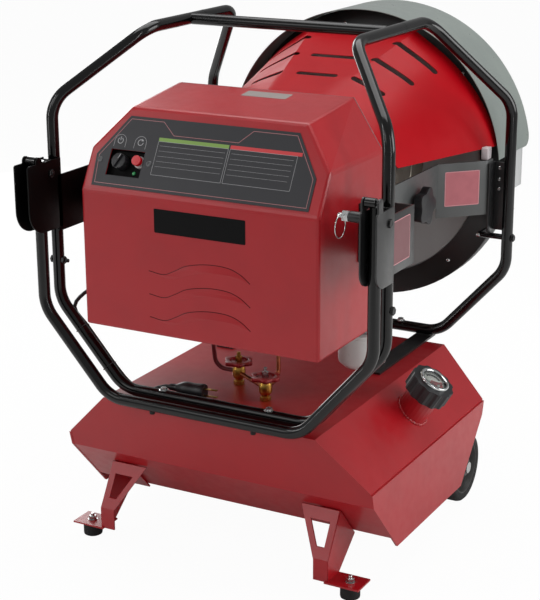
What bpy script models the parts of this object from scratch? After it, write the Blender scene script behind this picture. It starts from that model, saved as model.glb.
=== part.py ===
"""Oil-fired radiant heater on a wheeled fuel tank, one named object for each loose piece.

Metres, +Z up. +X is the right-hand side as seen from the control panel, -Y is the control side and +Y is the
way the heat goes. Sizes along Y are counted from the middle of the tank. The last step moves the whole heater
so that its origin is on the floor under the middle of its outline.
"""

import math

import bmesh
import bpy
from mathutils import Matrix, Vector

MM = 0.001
DEG = math.pi / 180

# Clearances shared by the whole heater
SEAT = 0.3 * MM              # between pieces that rest on each other
RUN_FIT = 0.35 * MM          # radial room round a turning or sliding piece
LAP = 0.8 * MM               # how far a welded shape sinks into its neighbour
MERGE = 0.001 * MM           # points closer than this are one point
OVERRUN = 4 * MM             # how far a cutter passes the wall it cuts

# Fuel tank
TANK_LENGTH = 610 * MM
TANK_TOP_LENGTH = 420 * MM
TANK_TOP_DEPTH = 550 * MM
TANK_MID_DEPTH = 488 * MM
TANK_END_FOOT_DEPTH = 289 * MM
TANK_TOP_Z = 287 * MM
TANK_END_HIGH_Z = 196 * MM
TANK_MID_Z = 170 * MM
TANK_SHELL_FOOT_Z = 83 * MM
TANK_END_FOOT_Z = 60 * MM
TANK_WALL = 2 * MM
END_PLATE = 3 * MM
WELL_DEPTH_Y = 137 * MM      # the wheel well starts this far behind the middle
WELL_CEILING_Z = 150 * MM
AXLE_CHEEK = 4 * MM
AXLE_CHEEK_WIDTH = 20 * MM
AXLE_CHEEK_MARGIN = 12 * MM

# Filler neck, cap and contents gauge, all on one leaning axis
FILLER_SLOPE_SHARE = 0.4684  # how far down the end slope the neck stands
FILLER_Y = 24 * MM
FILLER_LEAN = 32 * DEG
NECK_RADIUS = 30 * MM
NECK_WALL = 1.5 * MM
NECK_INSIDE = 24 * MM
NECK_OUTSIDE = 67 * MM
CAP_RADIUS = 41 * MM
CAP_HEIGHT = 31 * MM
CAP_GRIPS = 12
CAP_GRIP_DEPTH = 2.4 * MM
CAP_SKIRT_DROP = 23 * MM
DIAL_RADIUS = 22.5 * MM
DIAL_DEPTH = 4 * MM
BEZEL_RADIUS = 29 * MM
BEZEL_HEIGHT = 5.5 * MM
BEZEL_LIP = 1.4 * MM
LENS_RADIUS = 25.6 * MM
LENS_THICKNESS = 2 * MM
NEEDLE_LENGTH = 18.5 * MM
NEEDLE_WIDTH = 2.4 * MM
NEEDLE_THICKNESS = 1.2 * MM
GAUGE_ROD_RADIUS = 2 * MM
GAUGE_ROD_LENGTH = 141 * MM
GAUGE_ROD_STOP = 5 * MM
GAUGE_FLOAT_RADIUS = 18 * MM
GAUGE_FLOAT_HEIGHT = 20 * MM
GAUGE_FLOAT_REST = 48 * MM    # from the rod's end to the float in the middle of its way

# Front legs and rubber feet
LEG_X = 230 * MM
LEG_SHEET = 3 * MM
LEG_FOOT_FRONT_Y = 266 * MM
LEG_FOOT_BACK_Y = 224 * MM
LEG_BEND_Z = 66 * MM
LEG_TOP_Z = 142 * MM
LEG_TOP_BACK_Y = 160 * MM
LEG_PLATE_FOOT_WIDTH = 28 * MM
LEG_PLATE_TOP_WIDTH = 72 * MM
LEG_TAB_WIDTH = 40 * MM
LEG_FLANGE_REACH = 62 * MM
LEG_WINDOW_SHARE = 0.52      # the cut-out against the leaning front plate
FOOT_X = 264 * MM
FOOT_Y = 246 * MM
FOOT_RADIUS = 17.5 * MM
FOOT_HEIGHT = 25.5 * MM
FOOT_STUD_RADIUS = 3.9 * MM
FOOT_NUT_RADIUS = 7.5 * MM
FOOT_NUT_HEIGHT = 6.5 * MM
FOOT_STUD_TIP = 5 * MM

# Axle and wheels
AXLE_RADIUS = 6 * MM
AXLE_Y = 215 * MM
AXLE_CAP_RADIUS = 11 * MM
AXLE_CAP_LENGTH = 4 * MM
WHEEL_RADIUS = 68 * MM
WHEEL_WIDTH = 38 * MM
WHEEL_INSET = 17 * MM         # from the tank's end to the outside of the wheel
WHEEL_HUB_RADIUS = 17 * MM
WHEEL_WEB = 8 * MM
WHEEL_RIM_RADIUS = 50 * MM
WHEEL_TREAD_ROUND = 7 * MM
WHEEL_PLAY = 0.6 * MM

# Tube frame
TUBE_RADIUS = 10.65 * MM
FRAME_HALF_WIDTH = 319 * MM
FRAME_FRONT_Y = 240 * MM
FRAME_REAR_Y = 303 * MM
FRAME_TOP_Z = 919 * MM
FRAME_TOP_HALF_WIDTH = 199 * MM
FRAME_TOP_FRONT_Y = 114 * MM
FRAME_TOP_REAR_Y = 181 * MM
FRAME_TOP_JOINT_Y = 75 * MM
FRONT_SHOULDER_Z = 801 * MM
REAR_SHOULDER_Z = 762 * MM
KNEE_Z = 447 * MM
RUN_HALF_LENGTH = 188 * MM
BEND_RADIUS = 62 * MM
BEND_STEPS = 4
CROSSBAR_Y = 24 * MM
FRAME_BOLT_X = 105 * MM
FRAME_BOLT_RADIUS = 6.5 * MM
FRAME_BOLT_HEAD = 5 * MM
STOP_BOLT_Z = 518 * MM
STOP_BOLT_RADIUS = 4 * MM
STOP_BOLT_REACH = 11 * MM
STOP_BOLT_HEAD_RADIUS = 7.5 * MM
STOP_BOLT_HEAD = 5 * MM
STANDOFF_Z = 508 * MM
STANDOFF_RADIUS = 6 * MM

# Fold-out handle and its side brackets
HANDLE_OFFSET = 46 * MM
HANDLE_DROP = 2.5 * MM
HANDLE_TOP_DROP = 2 * MM     # the handle's tubes end this far below the pivot
PIVOT_FORWARD = 16 * MM      # the pivot lies this far in front of the handle's tubes
PIVOT_Z = 707 * MM
PIVOT_RADIUS = 4 * MM
PIVOT_EYE_RADIUS = 8 * MM
PIVOT_EYE_LENGTH = 18 * MM
BUMPER_X = 100 * MM
BUMPER_RADIUS = 5 * MM
BUMPER_LENGTH = 5 * MM
BRACKET_SHEET = 3 * MM
BRACKET_OUTER_ROOM = 3 * MM
BRACKET_NOSE_LEFT = 48 * MM
BRACKET_NOSE_RIGHT = 29 * MM
BRACKET_LEFT_RISE = 12 * MM  # the left bracket sits this much higher than the right one
BRACKET_FOOT_Z = 569 * MM
BRACKET_SHOULDER_Z = 692 * MM
BRACKET_EAR_HALF = 8 * MM
BRACKET_CHAMFER = 3 * MM
BRACKET_ROUND_LEFT = 42 * MM
BRACKET_ROUND_RIGHT = 28 * MM
ROUND_STEPS = 4
ARM_END_Y = 111 * MM
ARM_LOW_Z = 562 * MM
ARM_HIGH_Z = 662 * MM
ARM_TAB = 40 * MM
PLATE_BOLT_Y = 269.5 * MM
PLATE_BOLT_Z = 669 * MM
PLATE_BOLT_RADIUS = 3.5 * MM
PLATE_BOLT_HEAD_RADIUS = 7.5 * MM
PLATE_BOLT_HEAD = 4 * MM
PLATE_BOLT_TIP = 5 * MM

# Spring plunger with its pull ring; the shares are of the room between the right bracket and the box
PLUNGER_Z = 677 * MM
PLUNGER_PIN_RADIUS = 3.3 * MM
PLUNGER_COLLAR_RADIUS = 9 * MM
PLUNGER_COLLAR_SHARE = 0.37
PLUNGER_NUT_RADIUS = 9.6 * MM
PLUNGER_NUT_SHARE = 0.155
PLUNGER_TAIL_RADIUS = 4.6 * MM
PLUNGER_TAIL_SHARE = 0.095
PLUNGER_TAIL_ROOM = 0.6 * MM
RING_RADIUS = 18.5 * MM
RING_WIRE = 1.1 * MM
RING_EYE = 1.9 * MM
RING_STEPS = 18
RING_OPEN_TURN = 270 * DEG   # the part of the wire's round that the ring's section follows

# Base rails under the rear of the frame
RAIL_WIDTH = 34.5 * MM
RAIL_THICKNESS = 4 * MM
RAIL_INNER_X = 139 * MM
RAIL_FRONT_Y = 58 * MM
RAIL_REAR_Y = 318 * MM

# Control box
BOX_HALF_WIDTH = 226 * MM
BOX_FRONT_Y = 293.3 * MM
BOX_REAR_Y = 56.3 * MM
BOX_FOOT_Z = 428 * MM
BOX_CREASE_Z = 668 * MM
BOX_BROW_Y = 218.3 * MM
BOX_BROW_Z = 800.8 * MM
BOX_BROW_HALF_WIDTH = 167 * MM
BOX_SHOULDER_Z = 733 * MM
BOX_TOP_REAR_Z = 819 * MM
BOX_TOP_REAR_HALF_WIDTH = 171 * MM
BOX_SHEET = 1.5 * MM
BOX_EDGE_ROUND = 5 * MM
BOX_REAR_RIM = 14 * MM
BOX_FLOOR_OPENING_X = 100 * MM
BOX_FLOOR_OPENING_HALF_DEPTH = 45 * MM
BOX_FLOOR_OPENING_Y = 130 * MM

# Control panel; places are along X and up the leaning panel from its lower crease
DECAL_SHEET = 0.8 * MM
DECAL_LEFT_X = 207 * MM
DECAL_WIDE_X = 212 * MM
DECAL_TOP_LEFT_X = 163 * MM
DECAL_TOP_RIGHT_X = 158 * MM
DECAL_RIGHT_X = 205 * MM
DECAL_LOW_U = 9 * MM
DECAL_SHOULDER_U = 64 * MM
DECAL_TOP_U = 136 * MM
TRAY_CENTRE_X = 151.5 * MM
TRAY_CENTRE_U = 52.5 * MM
TRAY_WIDTH = 67 * MM
TRAY_HEIGHT = 46 * MM
TRAY_DEPTH = 9 * MM
TRAY_FLOOR = 2 * MM
TRAY_RIM = 1.6 * MM
TRAY_FLANGE = 18 * MM
TRAY_FLANGE_SHEET = 2 * MM
KNOB_X = 162 * MM
KNOB_U = 54.5 * MM
KNOB_RADIUS = 13.5 * MM
KNOB_PROUD = 8 * MM
KNOB_SHAFT_RADIUS = 3 * MM
KNOB_SHAFT_LENGTH = 14 * MM
KNOB_RIDGE_WIDTH = 4 * MM
KNOB_RIDGE_HEIGHT = 4 * MM
BUTTON_X = 128.5 * MM
BUTTON_U = 58.5 * MM
BUTTON_HEAD_RADIUS = 8.6 * MM
BUTTON_HEAD_HEIGHT = 7 * MM
BUTTON_STEM_RADIUS = 5 * MM
BUTTON_TRAVEL = 4 * MM
BUTTON_STEM_INSIDE = 12 * MM
COLLAR_RADIUS = 9.6 * MM
COLLAR_HEIGHT = 4 * MM
COLLAR_BARREL_RADIUS = 7.6 * MM
COLLAR_BARREL_LENGTH = 20 * MM
LED_GREEN_X = 136 * MM
LED_RED_X = 121 * MM
LED_U = 39 * MM
LED_RADIUS = 2.5 * MM
LED_PROUD = 1.5 * MM
BOARD_WIDTH = 34 * MM
BOARD_HEIGHT = 13 * MM
BOARD_THICKNESS = 1.6 * MM
BOARD_STANDOFF = 6 * MM
BOARD_POST_RADIUS = 1.8 * MM
BOARD_POST_SPACING = 29 * MM

# Burner inside the box, all on the heat axis
HEAT_Z = 623.5 * MM
VOLUTE_RADIUS = 82 * MM
VOLUTE_WALL = 2 * MM
VOLUTE_LENGTH = 100 * MM
VOLUTE_INLET_RADIUS = 45 * MM
VOLUTE_SLOT_WIDTH = 60 * MM
BLAST_RADIUS = 50 * MM
BLAST_REACH = 90 * MM
FAN_RADIUS = 66 * MM
FAN_HUB_RADIUS = 14 * MM
FAN_BLADES = 8
FAN_BLADE_SHARE = 0.22
FAN_WIDTH = 48 * MM
FAN_DISC = 3 * MM
FAN_SIDE_ROOM = 8 * MM
SHAFT_RADIUS = 4 * MM
MOTOR_RADIUS = 46 * MM
MOTOR_LENGTH = 74 * MM
PUMP_WIDTH = 52 * MM
PUMP_HEIGHT = 46 * MM
PUMP_LENGTH = 44 * MM
SHAFT_IN_PUMP = 14 * MM
TRANSFORMER_WIDTH = 90 * MM
TRANSFORMER_DEPTH = 62 * MM
TRANSFORMER_HEIGHT = 66 * MM
TRANSFORMER_X = 152 * MM
TRANSFORMER_Z = 520 * MM

# Combustion chamber, reflector and cover
CHAMBER_RADIUS = 120 * MM
CHAMBER_WALL = 1.5 * MM
CHAMBER_FRONT_Y = 372 * MM
EMITTER_RADIUS = 134 * MM
EMITTER_RISE = 26 * MM
EMITTER_SHEET = 2 * MM
REFLECTOR_Y = 360.5 * MM
REFLECTOR_SHEET = 1.5 * MM
REFLECTOR_FLAT_RADIUS = 238 * MM
REFLECTOR_DEPTH = 39 * MM
RIM_INNER_RADIUS = 239 * MM
RIM_RADIUS = 287.5 * MM
RIM_SHEET = 2 * MM
RIM_EDGE_Y = 378 * MM
RIM_FRONT_Y = 412 * MM
ROUND_PIECE_STEPS = 28
HOOD_SHEET = 1.5 * MM
HOOD_BACK_Y = 325 * MM
HOOD_FRONT_Y = 493 * MM
HOOD_FOOT_ANGLE = 5 * DEG
HOOD_STEPS = 22
HOOD_TAB_BACK_Y = 406 * MM
HOOD_TAB_WIDTH = 44 * MM
HOOD_TAB_LOW_Z = 577 * MM
COVER_SHEET = 1.2 * MM
COVER_REAR_Y = 4 * MM
COVER_FRONT_Y = 340 * MM
COVER_REAR_HALF = (
    (45 * MM, 775 * MM), (105 * MM, 763 * MM), (155 * MM, 743 * MM), (195 * MM, 719 * MM), (226 * MM, 691 * MM),
)
COVER_FRONT_HALF = (
    (108 * MM, 877 * MM), (178 * MM, 828 * MM), (229 * MM, 776 * MM), (262 * MM, 724 * MM), (282 * MM, 674 * MM),
)
COVER_SLOT_WIDTH = 8 * MM
COVER_SLOT_LENGTH = 84 * MM
COVER_SLOT_LOW_Y = 140 * MM
COVER_SLOT_HIGH_Y = 214 * MM
COVER_SIDE_SLOT_SHARE = 0.45  # how far down the first facet the side slots sit
COVER_TAB_WIDTH = 14 * MM
COVER_TAB_HEIGHT = 24 * MM
COVER_TAB_LENGTH = 20 * MM
GUARD_WIRE = 2.5 * MM
GUARD_Y = 430 * MM
GUARD_FOOT_Y = 401 * MM
GUARD_RING_SHARES = (1, 0.68, 0.36)
GUARD_SPOKES = 4
GUARD_SECTION_START = 45 * DEG
GUARD_SECTION_END = 315 * DEG

# Side plates that carry the head between the box and the rear tubes
SIDE_SHEET = 3 * MM
SIDE_X = 215 * MM
SIDE_TAB = 20 * MM
SIDE_LOW_Z = 575 * MM
SIDE_HIGH_Z = 657 * MM
SIDE_LABEL_LOW_Z = 555 * MM
SIDE_LABEL_INNER_Y = 203 * MM
SIDE_LABEL_OUTER_X = 286 * MM
SIDE_LABEL_OUTER_Y = 276 * MM
SIDE_TAIL = 22 * MM
LUG_SHEET = 3 * MM
LUG_LOW_Z = 520 * MM
LUG_HIGH_Z = 652 * MM
CLAMP_Y = 112 * MM
CLAMP_Z = 600 * MM
CLAMP_RADIUS = 36 * MM
CLAMP_LOBES = 5
CLAMP_LOBE_SHARE = 0.12
CLAMP_STEPS = 30
CLAMP_THICKNESS = 15 * MM
CLAMP_HUB_RADIUS = 12 * MM
CLAMP_HUB_LENGTH = 7 * MM
CLAMP_STUD_RADIUS = 4 * MM
CLAMP_STUD_LENGTH = 14 * MM

# Fuel valves, hose and filter
VALVE_FRONT_X = 50 * MM
VALVE_FRONT_Y = 152 * MM
VALVE_REAR_X = -32 * MM
VALVE_REAR_Y = 102 * MM
VALVE_BASE_RADIUS = 10 * MM
VALVE_BASE_HEIGHT = 14 * MM
VALVE_BODY_RADIUS = 12 * MM
VALVE_BODY_HEIGHT = 20 * MM
VALVE_SPOUT_LENGTH = 24 * MM
VALVE_STEM_RADIUS = 4 * MM
VALVE_STEM_HEIGHT = 5 * MM
HANDWHEEL_RADIUS = 27 * MM
HANDWHEEL_DIP_SHARE = 0.09
HANDWHEEL_LOBES = 6
HANDWHEEL_LOBE_STEPS = 4
HANDWHEEL_THICKNESS = 7 * MM
HANDWHEEL_NUT_RADIUS = 6 * MM
HANDWHEEL_NUT_HEIGHT = 15 * MM
HOSE_RADIUS = 4 * MM
HOSE_ROUND = 20 * MM
HOSE_STEPS = 3
HOSE_TOP_Z = 452 * MM
FILTER_X = 176 * MM
FILTER_Y = -24 * MM
FILTER_RADIUS = 43 * MM
FILTER_FOOT_Z = 334 * MM
FILTER_CAN_HEIGHT = 66 * MM
FILTER_HEAD_RADIUS = 30 * MM
FILTER_SHELF_Z = 430 * MM
FILTER_SHELF_HALF_WIDTH = 34 * MM
FILTER_SHELF_DEPTH = 66 * MM

# Mains cord; the lists hold points chosen along the lie of the cord
CORD_RADIUS = 3.5 * MM
GLAND_Y = 130 * MM
GLAND_Z = 470 * MM
GLAND_RADIUS = 11 * MM
GLAND_LENGTH = 20 * MM
GLAND_BARREL_RADIUS = 8 * MM
GLAND_BARREL_LENGTH = 12 * MM
GLAND_LEAD = (-14 * MM, -3 * MM, -1 * MM)
CORD_ROUTE = ((-0.275, -0.160, 0.463), (-0.296, -0.200, 0.447))
CORD_TUBE_SHARES = (0.14, 0.34, 0.58, 0.80)  # along the slanting tube that the cord follows
CORD_TUBE_ROOM = 2 * MM
CORD_LANDING = ((-0.188, -0.225, 0.3045), (-0.164, -0.224, 0.2925), (-0.146, -0.217, 0.2940))
PLUG_X = -100 * MM
PLUG_Y = -205 * MM
PLUG_TURN = 4 * DEG
PLUG_LENGTH = 56 * MM
PLUG_RADIUS = 14.5 * MM
PLUG_NECK_RADIUS = 6 * MM
PLUG_NECK_LENGTH = 14 * MM
PLUG_PRONG_LENGTH = 25 * MM
PLUG_PRONG_WIDTH = 6.3 * MM
PLUG_PRONG_THICKNESS = 1.6 * MM
PLUG_PRONG_SPACING = 12.7 * MM

LEFT, RIGHT = -1, 1


# Building tools

def clear_scene():
    """Remove what the file starts with."""
    for old in list(bpy.data.objects):
        bpy.data.objects.remove(old, do_unlink=True)


def material(name, colour, roughness, metallic=0.0):
    """Return the named Principled material, made once."""
    found = bpy.data.materials.get(name)
    if found:
        return found
    made = bpy.data.materials.new(name)
    made.use_nodes = True
    shader = made.node_tree.nodes["Principled BSDF"]
    shader.inputs["Base Color"].default_value = (*colour, 1.0)
    shader.inputs["Roughness"].default_value = roughness
    shader.inputs["Metallic"].default_value = metallic
    made.diffuse_color = (*colour, 1.0)
    return made


def red_paint():
    return material("red_paint", (0.36, 0.006, 0.010), 0.35)


def black_paint():
    return material("black_paint", (0.006, 0.006, 0.007), 0.3)


def grey_paint():
    return material("grey_paint", (0.05, 0.05, 0.052), 0.45)


def bright_steel():
    return material("bright_steel", (0.6, 0.6, 0.6), 0.25, 1.0)


def black_plastic():
    return material("black_plastic", (0.01, 0.01, 0.01), 0.5)


def rubber():
    return material("rubber", (0.02, 0.02, 0.02), 0.8)


def brass():
    return material("brass", (0.65, 0.42, 0.12), 0.3, 1.0)


def finish(name, bm, paint, smooth=False):
    """Turn a bmesh into a named object with its faces pointing out."""
    bmesh.ops.recalc_face_normals(bm, faces=bm.faces)
    mesh = bpy.data.meshes.new(name)
    bm.to_mesh(mesh)
    bm.free()
    mesh.materials.append(paint)
    if smooth:
        mesh.shade_smooth()
        mesh.set_sharp_from_angle(angle=35 * DEG)
    piece = bpy.data.objects.new(name, mesh)
    bpy.context.scene.collection.objects.link(piece)
    return piece


def hull(name, points, paint):
    """The convex solid through the given corner points."""
    bm = bmesh.new()
    for point in points:
        bm.verts.new(point)
    made = bmesh.ops.convex_hull(bm, input=bm.verts)
    inside = dict.fromkeys(made["geom_interior"] + made["geom_unused"])
    spare = [item for item in inside if isinstance(item, bmesh.types.BMVert)]
    bmesh.ops.delete(bm, geom=spare, context="VERTS")
    bmesh.ops.dissolve_limit(bm, angle_limit=0.5 * DEG, verts=bm.verts, edges=bm.edges)
    return finish(name, bm, paint)


def block(name, low, high, paint):
    """A box between two opposite corners."""
    bm = bmesh.new()
    bmesh.ops.create_cube(bm, size=1)
    low, high = Vector(low), Vector(high)
    size = high - low
    for vert in bm.verts:
        vert.co = (low + high) / 2 + Vector((vert.co.x * size.x, vert.co.y * size.y, vert.co.z * size.z))
    return finish(name, bm, paint)


def prism(name, outline, axis, start, end, paint, smooth=False):
    """Extrude a flat outline along X, Y or Z. An outline along X holds (y, z), along Y (x, z), along Z (x, y)."""
    seat_point = {
        "X": lambda a, b: (start, a, b),
        "Y": lambda a, b: (a, start, b),
        "Z": lambda a, b: (a, b, start),
    }[axis]
    shift = Vector({"X": (end - start, 0, 0), "Y": (0, end - start, 0), "Z": (0, 0, end - start)}[axis])
    bm = bmesh.new()
    face = bm.faces.new([bm.verts.new(seat_point(a, b)) for a, b in outline])
    made = bmesh.ops.extrude_face_region(bm, geom=[face])
    moved = [item for item in made["geom"] if isinstance(item, bmesh.types.BMVert)]
    bmesh.ops.translate(bm, verts=moved, vec=shift)
    return finish(name, bm, paint, smooth)


def turned(name, profile, centre, axis, steps, paint):
    """Spin a closed profile of (radius, along) points round an axis through centre."""
    axis = Vector(axis).normalized()
    centre = Vector(centre)
    side = axis.orthogonal().normalized()
    bm = bmesh.new()
    loop = [bm.verts.new(centre + side * radius + axis * along) for radius, along in profile]
    edges = [bm.edges.new((loop[i - 1], loop[i])) for i in range(len(loop))]
    bmesh.ops.spin(bm, geom=loop + edges, cent=centre, axis=axis, angle=360 * DEG, steps=steps, use_merge=True)
    bmesh.ops.remove_doubles(bm, verts=bm.verts, dist=MERGE)
    bmesh.ops.delete(bm, geom=[edge for edge in bm.edges if edge.is_wire], context="EDGES")
    return finish(name, bm, paint, smooth=True)


def rod(name, start, end, radius, paint, sides=16):
    """A round bar between two points."""
    start, end = Vector(start), Vector(end)
    along = end - start
    turn = along.to_track_quat("Z", "Y").to_matrix().to_4x4()
    bm = bmesh.new()
    bmesh.ops.create_cone(
        bm, cap_ends=True, segments=sides, radius1=radius, radius2=radius, depth=along.length,
        matrix=Matrix.Translation((start + end) / 2) @ turn,
    )
    return finish(name, bm, paint, smooth=sides > 6)


def cord_curve(name, points, radius, resolution, paint):
    """A round cord along its points, with closed ends."""
    curve = bpy.data.curves.new(name, "CURVE")
    curve.dimensions = "3D"
    curve.bevel_depth = radius
    curve.bevel_resolution = resolution
    curve.use_fill_caps = True
    line = curve.splines.new("POLY")
    line.points.add(len(points) - 1)
    for spot, point in zip(line.points, points):
        spot.co = (*point, 1)
    line.use_smooth = True
    curve.materials.append(paint)
    piece = bpy.data.objects.new(name, curve)
    bpy.context.scene.collection.objects.link(piece)
    return piece


def swept_tube(name, points, radius, paint, resolution=3):
    """A bent tube as a mesh object, so that it can take holes and lugs."""
    guide = cord_curve(name, points, radius, resolution, paint)
    bpy.context.view_layer.update()
    mesh = bpy.data.meshes.new_from_object(guide.evaluated_get(bpy.context.evaluated_depsgraph_get()))
    curve = guide.data
    bpy.data.objects.remove(guide, do_unlink=True)
    bpy.data.curves.remove(curve)
    mesh.name = name
    mesh.materials.clear()
    mesh.materials.append(paint)
    bm = bmesh.new()
    bm.from_mesh(mesh)
    bmesh.ops.remove_doubles(bm, verts=bm.verts, dist=MERGE)
    bmesh.ops.recalc_face_normals(bm, faces=bm.faces)
    bm.to_mesh(mesh)
    bm.free()
    mesh.shade_smooth()
    mesh.set_sharp_from_angle(angle=50 * DEG)
    piece = bpy.data.objects.new(name, mesh)
    bpy.context.scene.collection.objects.link(piece)
    return piece


def rounded_route(corners, radius, steps):
    """Points along straight runs whose corners are rounded to arcs."""
    corners = [Vector(corner) for corner in corners]
    route = [corners[0]]
    for before, corner, after in zip(corners, corners[1:], corners[2:]):
        to_before = (before - corner).normalized()
        to_after = (after - corner).normalized()
        half = to_before.angle(to_after) / 2
        reach = radius / math.tan(half)
        centre = corner + (to_before + to_after).normalized() * (radius / math.sin(half))
        first = corner + to_before * reach - centre
        last = corner + to_after * reach - centre
        turn_axis = first.cross(last).normalized()
        turn = first.angle(last)
        for step in range(steps + 1):
            route.append(centre + Matrix.Rotation(turn * step / steps, 3, turn_axis) @ first)
    route.append(corners[-1])
    return route


def smooth_route(points, spacing):
    """Even points along a smooth curve through the given points."""
    points = [Vector(point) for point in points]
    padded = [points[0] * 2 - points[1], *points, points[-1] * 2 - points[-2]]
    fine = []
    for p0, p1, p2, p3 in zip(padded, padded[1:], padded[2:], padded[3:]):
        count = max(2, math.ceil((p2 - p1).length / spacing * 4))
        for step in range(count):
            t = step / count
            fine.append(
                (p1 * 2 + (p2 - p0) * t + (p0 * 2 - p1 * 5 + p2 * 4 - p3) * t ** 2
                 + (p1 * 3 - p0 - p2 * 3 + p3) * t ** 3) / 2
            )
    fine.append(points[-1])
    total = sum((b - a).length for a, b in zip(fine, fine[1:]))
    pieces = max(2, round(total / spacing))
    even, walked, goal = [fine[0]], 0, total / pieces
    for a, b in zip(fine, fine[1:]):
        length = (b - a).length
        while walked + length >= goal and len(even) < pieces:
            even.append(a.lerp(b, (goal - walked) / length))
            goal += total / pieces
        walked += length
    even.append(fine[-1])
    return even


def hide(helper):
    """Leave a cutter or a joined shape out of the finished heater."""
    helper.hide_render = True
    helper.display_type = "WIRE"
    return helper


def boolean(target, helper, operation):
    """Cut a helper out of a piece, or join it on."""
    change = target.modifiers.new(helper.name, "BOOLEAN")
    change.operation = operation
    change.solver = "EXACT"
    change.object = hide(helper)
    return target


def cut(target, helper):
    return boolean(target, helper, "DIFFERENCE")


def fuse(target, helper):
    return boolean(target, helper, "UNION")


def move_origin(piece, origin):
    """Put a piece's origin on its joint axis without moving the piece."""
    origin = Vector(origin)
    piece.data.transform(Matrix.Translation(-origin))
    piece.location = origin
    return piece


def side_name(side):
    return "left" if side == LEFT else "right"


def arc(centre, radius, start, end, steps):
    """Points of an arc in a flat outline."""
    return [
        (centre[0] + radius * math.cos(start + (end - start) * i / steps),
         centre[1] + radius * math.sin(start + (end - start) * i / steps))
        for i in range(steps + 1)
    ]


# Fuel tank

def lower_face_y(z):
    """Half depth of the tank's lower sloping face at a height."""
    share = (z - TANK_END_FOOT_Z) / (TANK_MID_Z - TANK_END_FOOT_Z)
    return (TANK_END_FOOT_DEPTH + (TANK_MID_DEPTH - TANK_END_FOOT_DEPTH) * share) / 2


def upper_face_y(z):
    """Half depth of the tank's upper front and rear faces at a height."""
    share = (z - TANK_MID_Z) / (TANK_TOP_Z - TANK_MID_Z)
    return (TANK_MID_DEPTH + (TANK_TOP_DEPTH - TANK_MID_DEPTH) * share) / 2


def lower_face_z(y):
    """Height of the tank's lower sloping face at a half depth."""
    share = (2 * y - TANK_END_FOOT_DEPTH) / (TANK_MID_DEPTH - TANK_END_FOOT_DEPTH)
    return TANK_END_FOOT_Z + (TANK_MID_Z - TANK_END_FOOT_Z) * share


def slope_z(x):
    """Height of the tank's sloping end faces at a distance from the middle."""
    share = (x - TANK_TOP_LENGTH / 2) / (TANK_LENGTH / 2 - TANK_TOP_LENGTH / 2)
    return TANK_TOP_Z - (TANK_TOP_Z - TANK_END_HIGH_Z) * share


FILLER_AXIS = Vector((math.sin(FILLER_LEAN), 0, math.cos(FILLER_LEAN)))
FILLER_X = TANK_TOP_LENGTH / 2 + (TANK_LENGTH - TANK_TOP_LENGTH) / 2 * FILLER_SLOPE_SHARE
FILLER_BASE = Vector((FILLER_X, FILLER_Y, slope_z(FILLER_X)))
AXLE_Z = WHEEL_RADIUS
WHEEL_OUTER_X = TANK_LENGTH / 2 - WHEEL_INSET
WHEEL_INNER_X = WHEEL_OUTER_X - WHEEL_WIDTH


def along_filler(distance):
    """A point on the filler's axis, measured from the tank's slope."""
    return FILLER_BASE + FILLER_AXIS * distance


def build_tank():
    paint = red_paint()
    half_shell = TANK_LENGTH / 2 - END_PLATE
    corners = []
    for side in (LEFT, RIGHT):
        for front in (LEFT, RIGHT):
            corners.append((side * TANK_TOP_LENGTH / 2, front * TANK_TOP_DEPTH / 2, TANK_TOP_Z))
            high_z = slope_z(half_shell)
            corners.append((side * half_shell, front * (upper_face_y(high_z) - LAP), high_z))
            corners.append((side * half_shell, front * (TANK_MID_DEPTH / 2 - LAP), TANK_MID_Z))
            foot_y = lower_face_y(TANK_SHELL_FOOT_Z) - LAP
            corners.append((side * half_shell, front * foot_y, TANK_SHELL_FOOT_Z))
    tank = hull("tank_shell", corners, paint)
    well = block(
        "cut_wheel_well", (-TANK_LENGTH, WELL_DEPTH_Y, 0), (TANK_LENGTH, TANK_LENGTH, WELL_CEILING_Z), paint,
    )
    cut(tank, well)
    wall = tank.modifiers.new("wall", "SOLIDIFY")
    wall.thickness = TANK_WALL
    wall.offset = -1
    wall.use_even_offset = True
    end_high_y = upper_face_y(TANK_END_HIGH_Z)
    end_outline = [
        (-end_high_y, TANK_END_HIGH_Z), (-TANK_MID_DEPTH / 2, TANK_MID_Z),
        (-TANK_END_FOOT_DEPTH / 2, TANK_END_FOOT_Z), (TANK_END_FOOT_DEPTH / 2, TANK_END_FOOT_Z),
        (TANK_MID_DEPTH / 2, TANK_MID_Z), (end_high_y, TANK_END_HIGH_Z),
    ]
    for side in (LEFT, RIGHT):
        start = side * (half_shell - LAP)
        fuse(tank, prism(f"join_end_{side_name(side)}", end_outline, "X", start, side * TANK_LENGTH / 2, paint))
        inner = WHEEL_INNER_X - WHEEL_PLAY - AXLE_CHEEK
        cheek = block(
            f"join_cheek_{side_name(side)}",
            (min(side * inner, side * (inner + AXLE_CHEEK)), AXLE_Y - AXLE_CHEEK_WIDTH / 2,
             AXLE_Z - AXLE_CHEEK_MARGIN),
            (max(side * inner, side * (inner + AXLE_CHEEK)), AXLE_Y + AXLE_CHEEK_WIDTH / 2,
             WELL_CEILING_Z + LAP),
            paint,
        )
        fuse(tank, cheek)
    axle_hole = rod(
        "cut_axle_hole", (-TANK_LENGTH / 2 + END_PLATE * 2, AXLE_Y, AXLE_Z),
        (TANK_LENGTH / 2 - END_PLATE * 2, AXLE_Y, AXLE_Z), AXLE_RADIUS + SEAT, paint, 20,
    )
    cut(tank, axle_hole)
    neck_hole = rod(
        "cut_neck_hole", along_filler(-NECK_INSIDE), along_filler(NECK_OUTSIDE), NECK_RADIUS + SEAT, paint, 28,
    )
    cut(tank, neck_hole)


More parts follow.
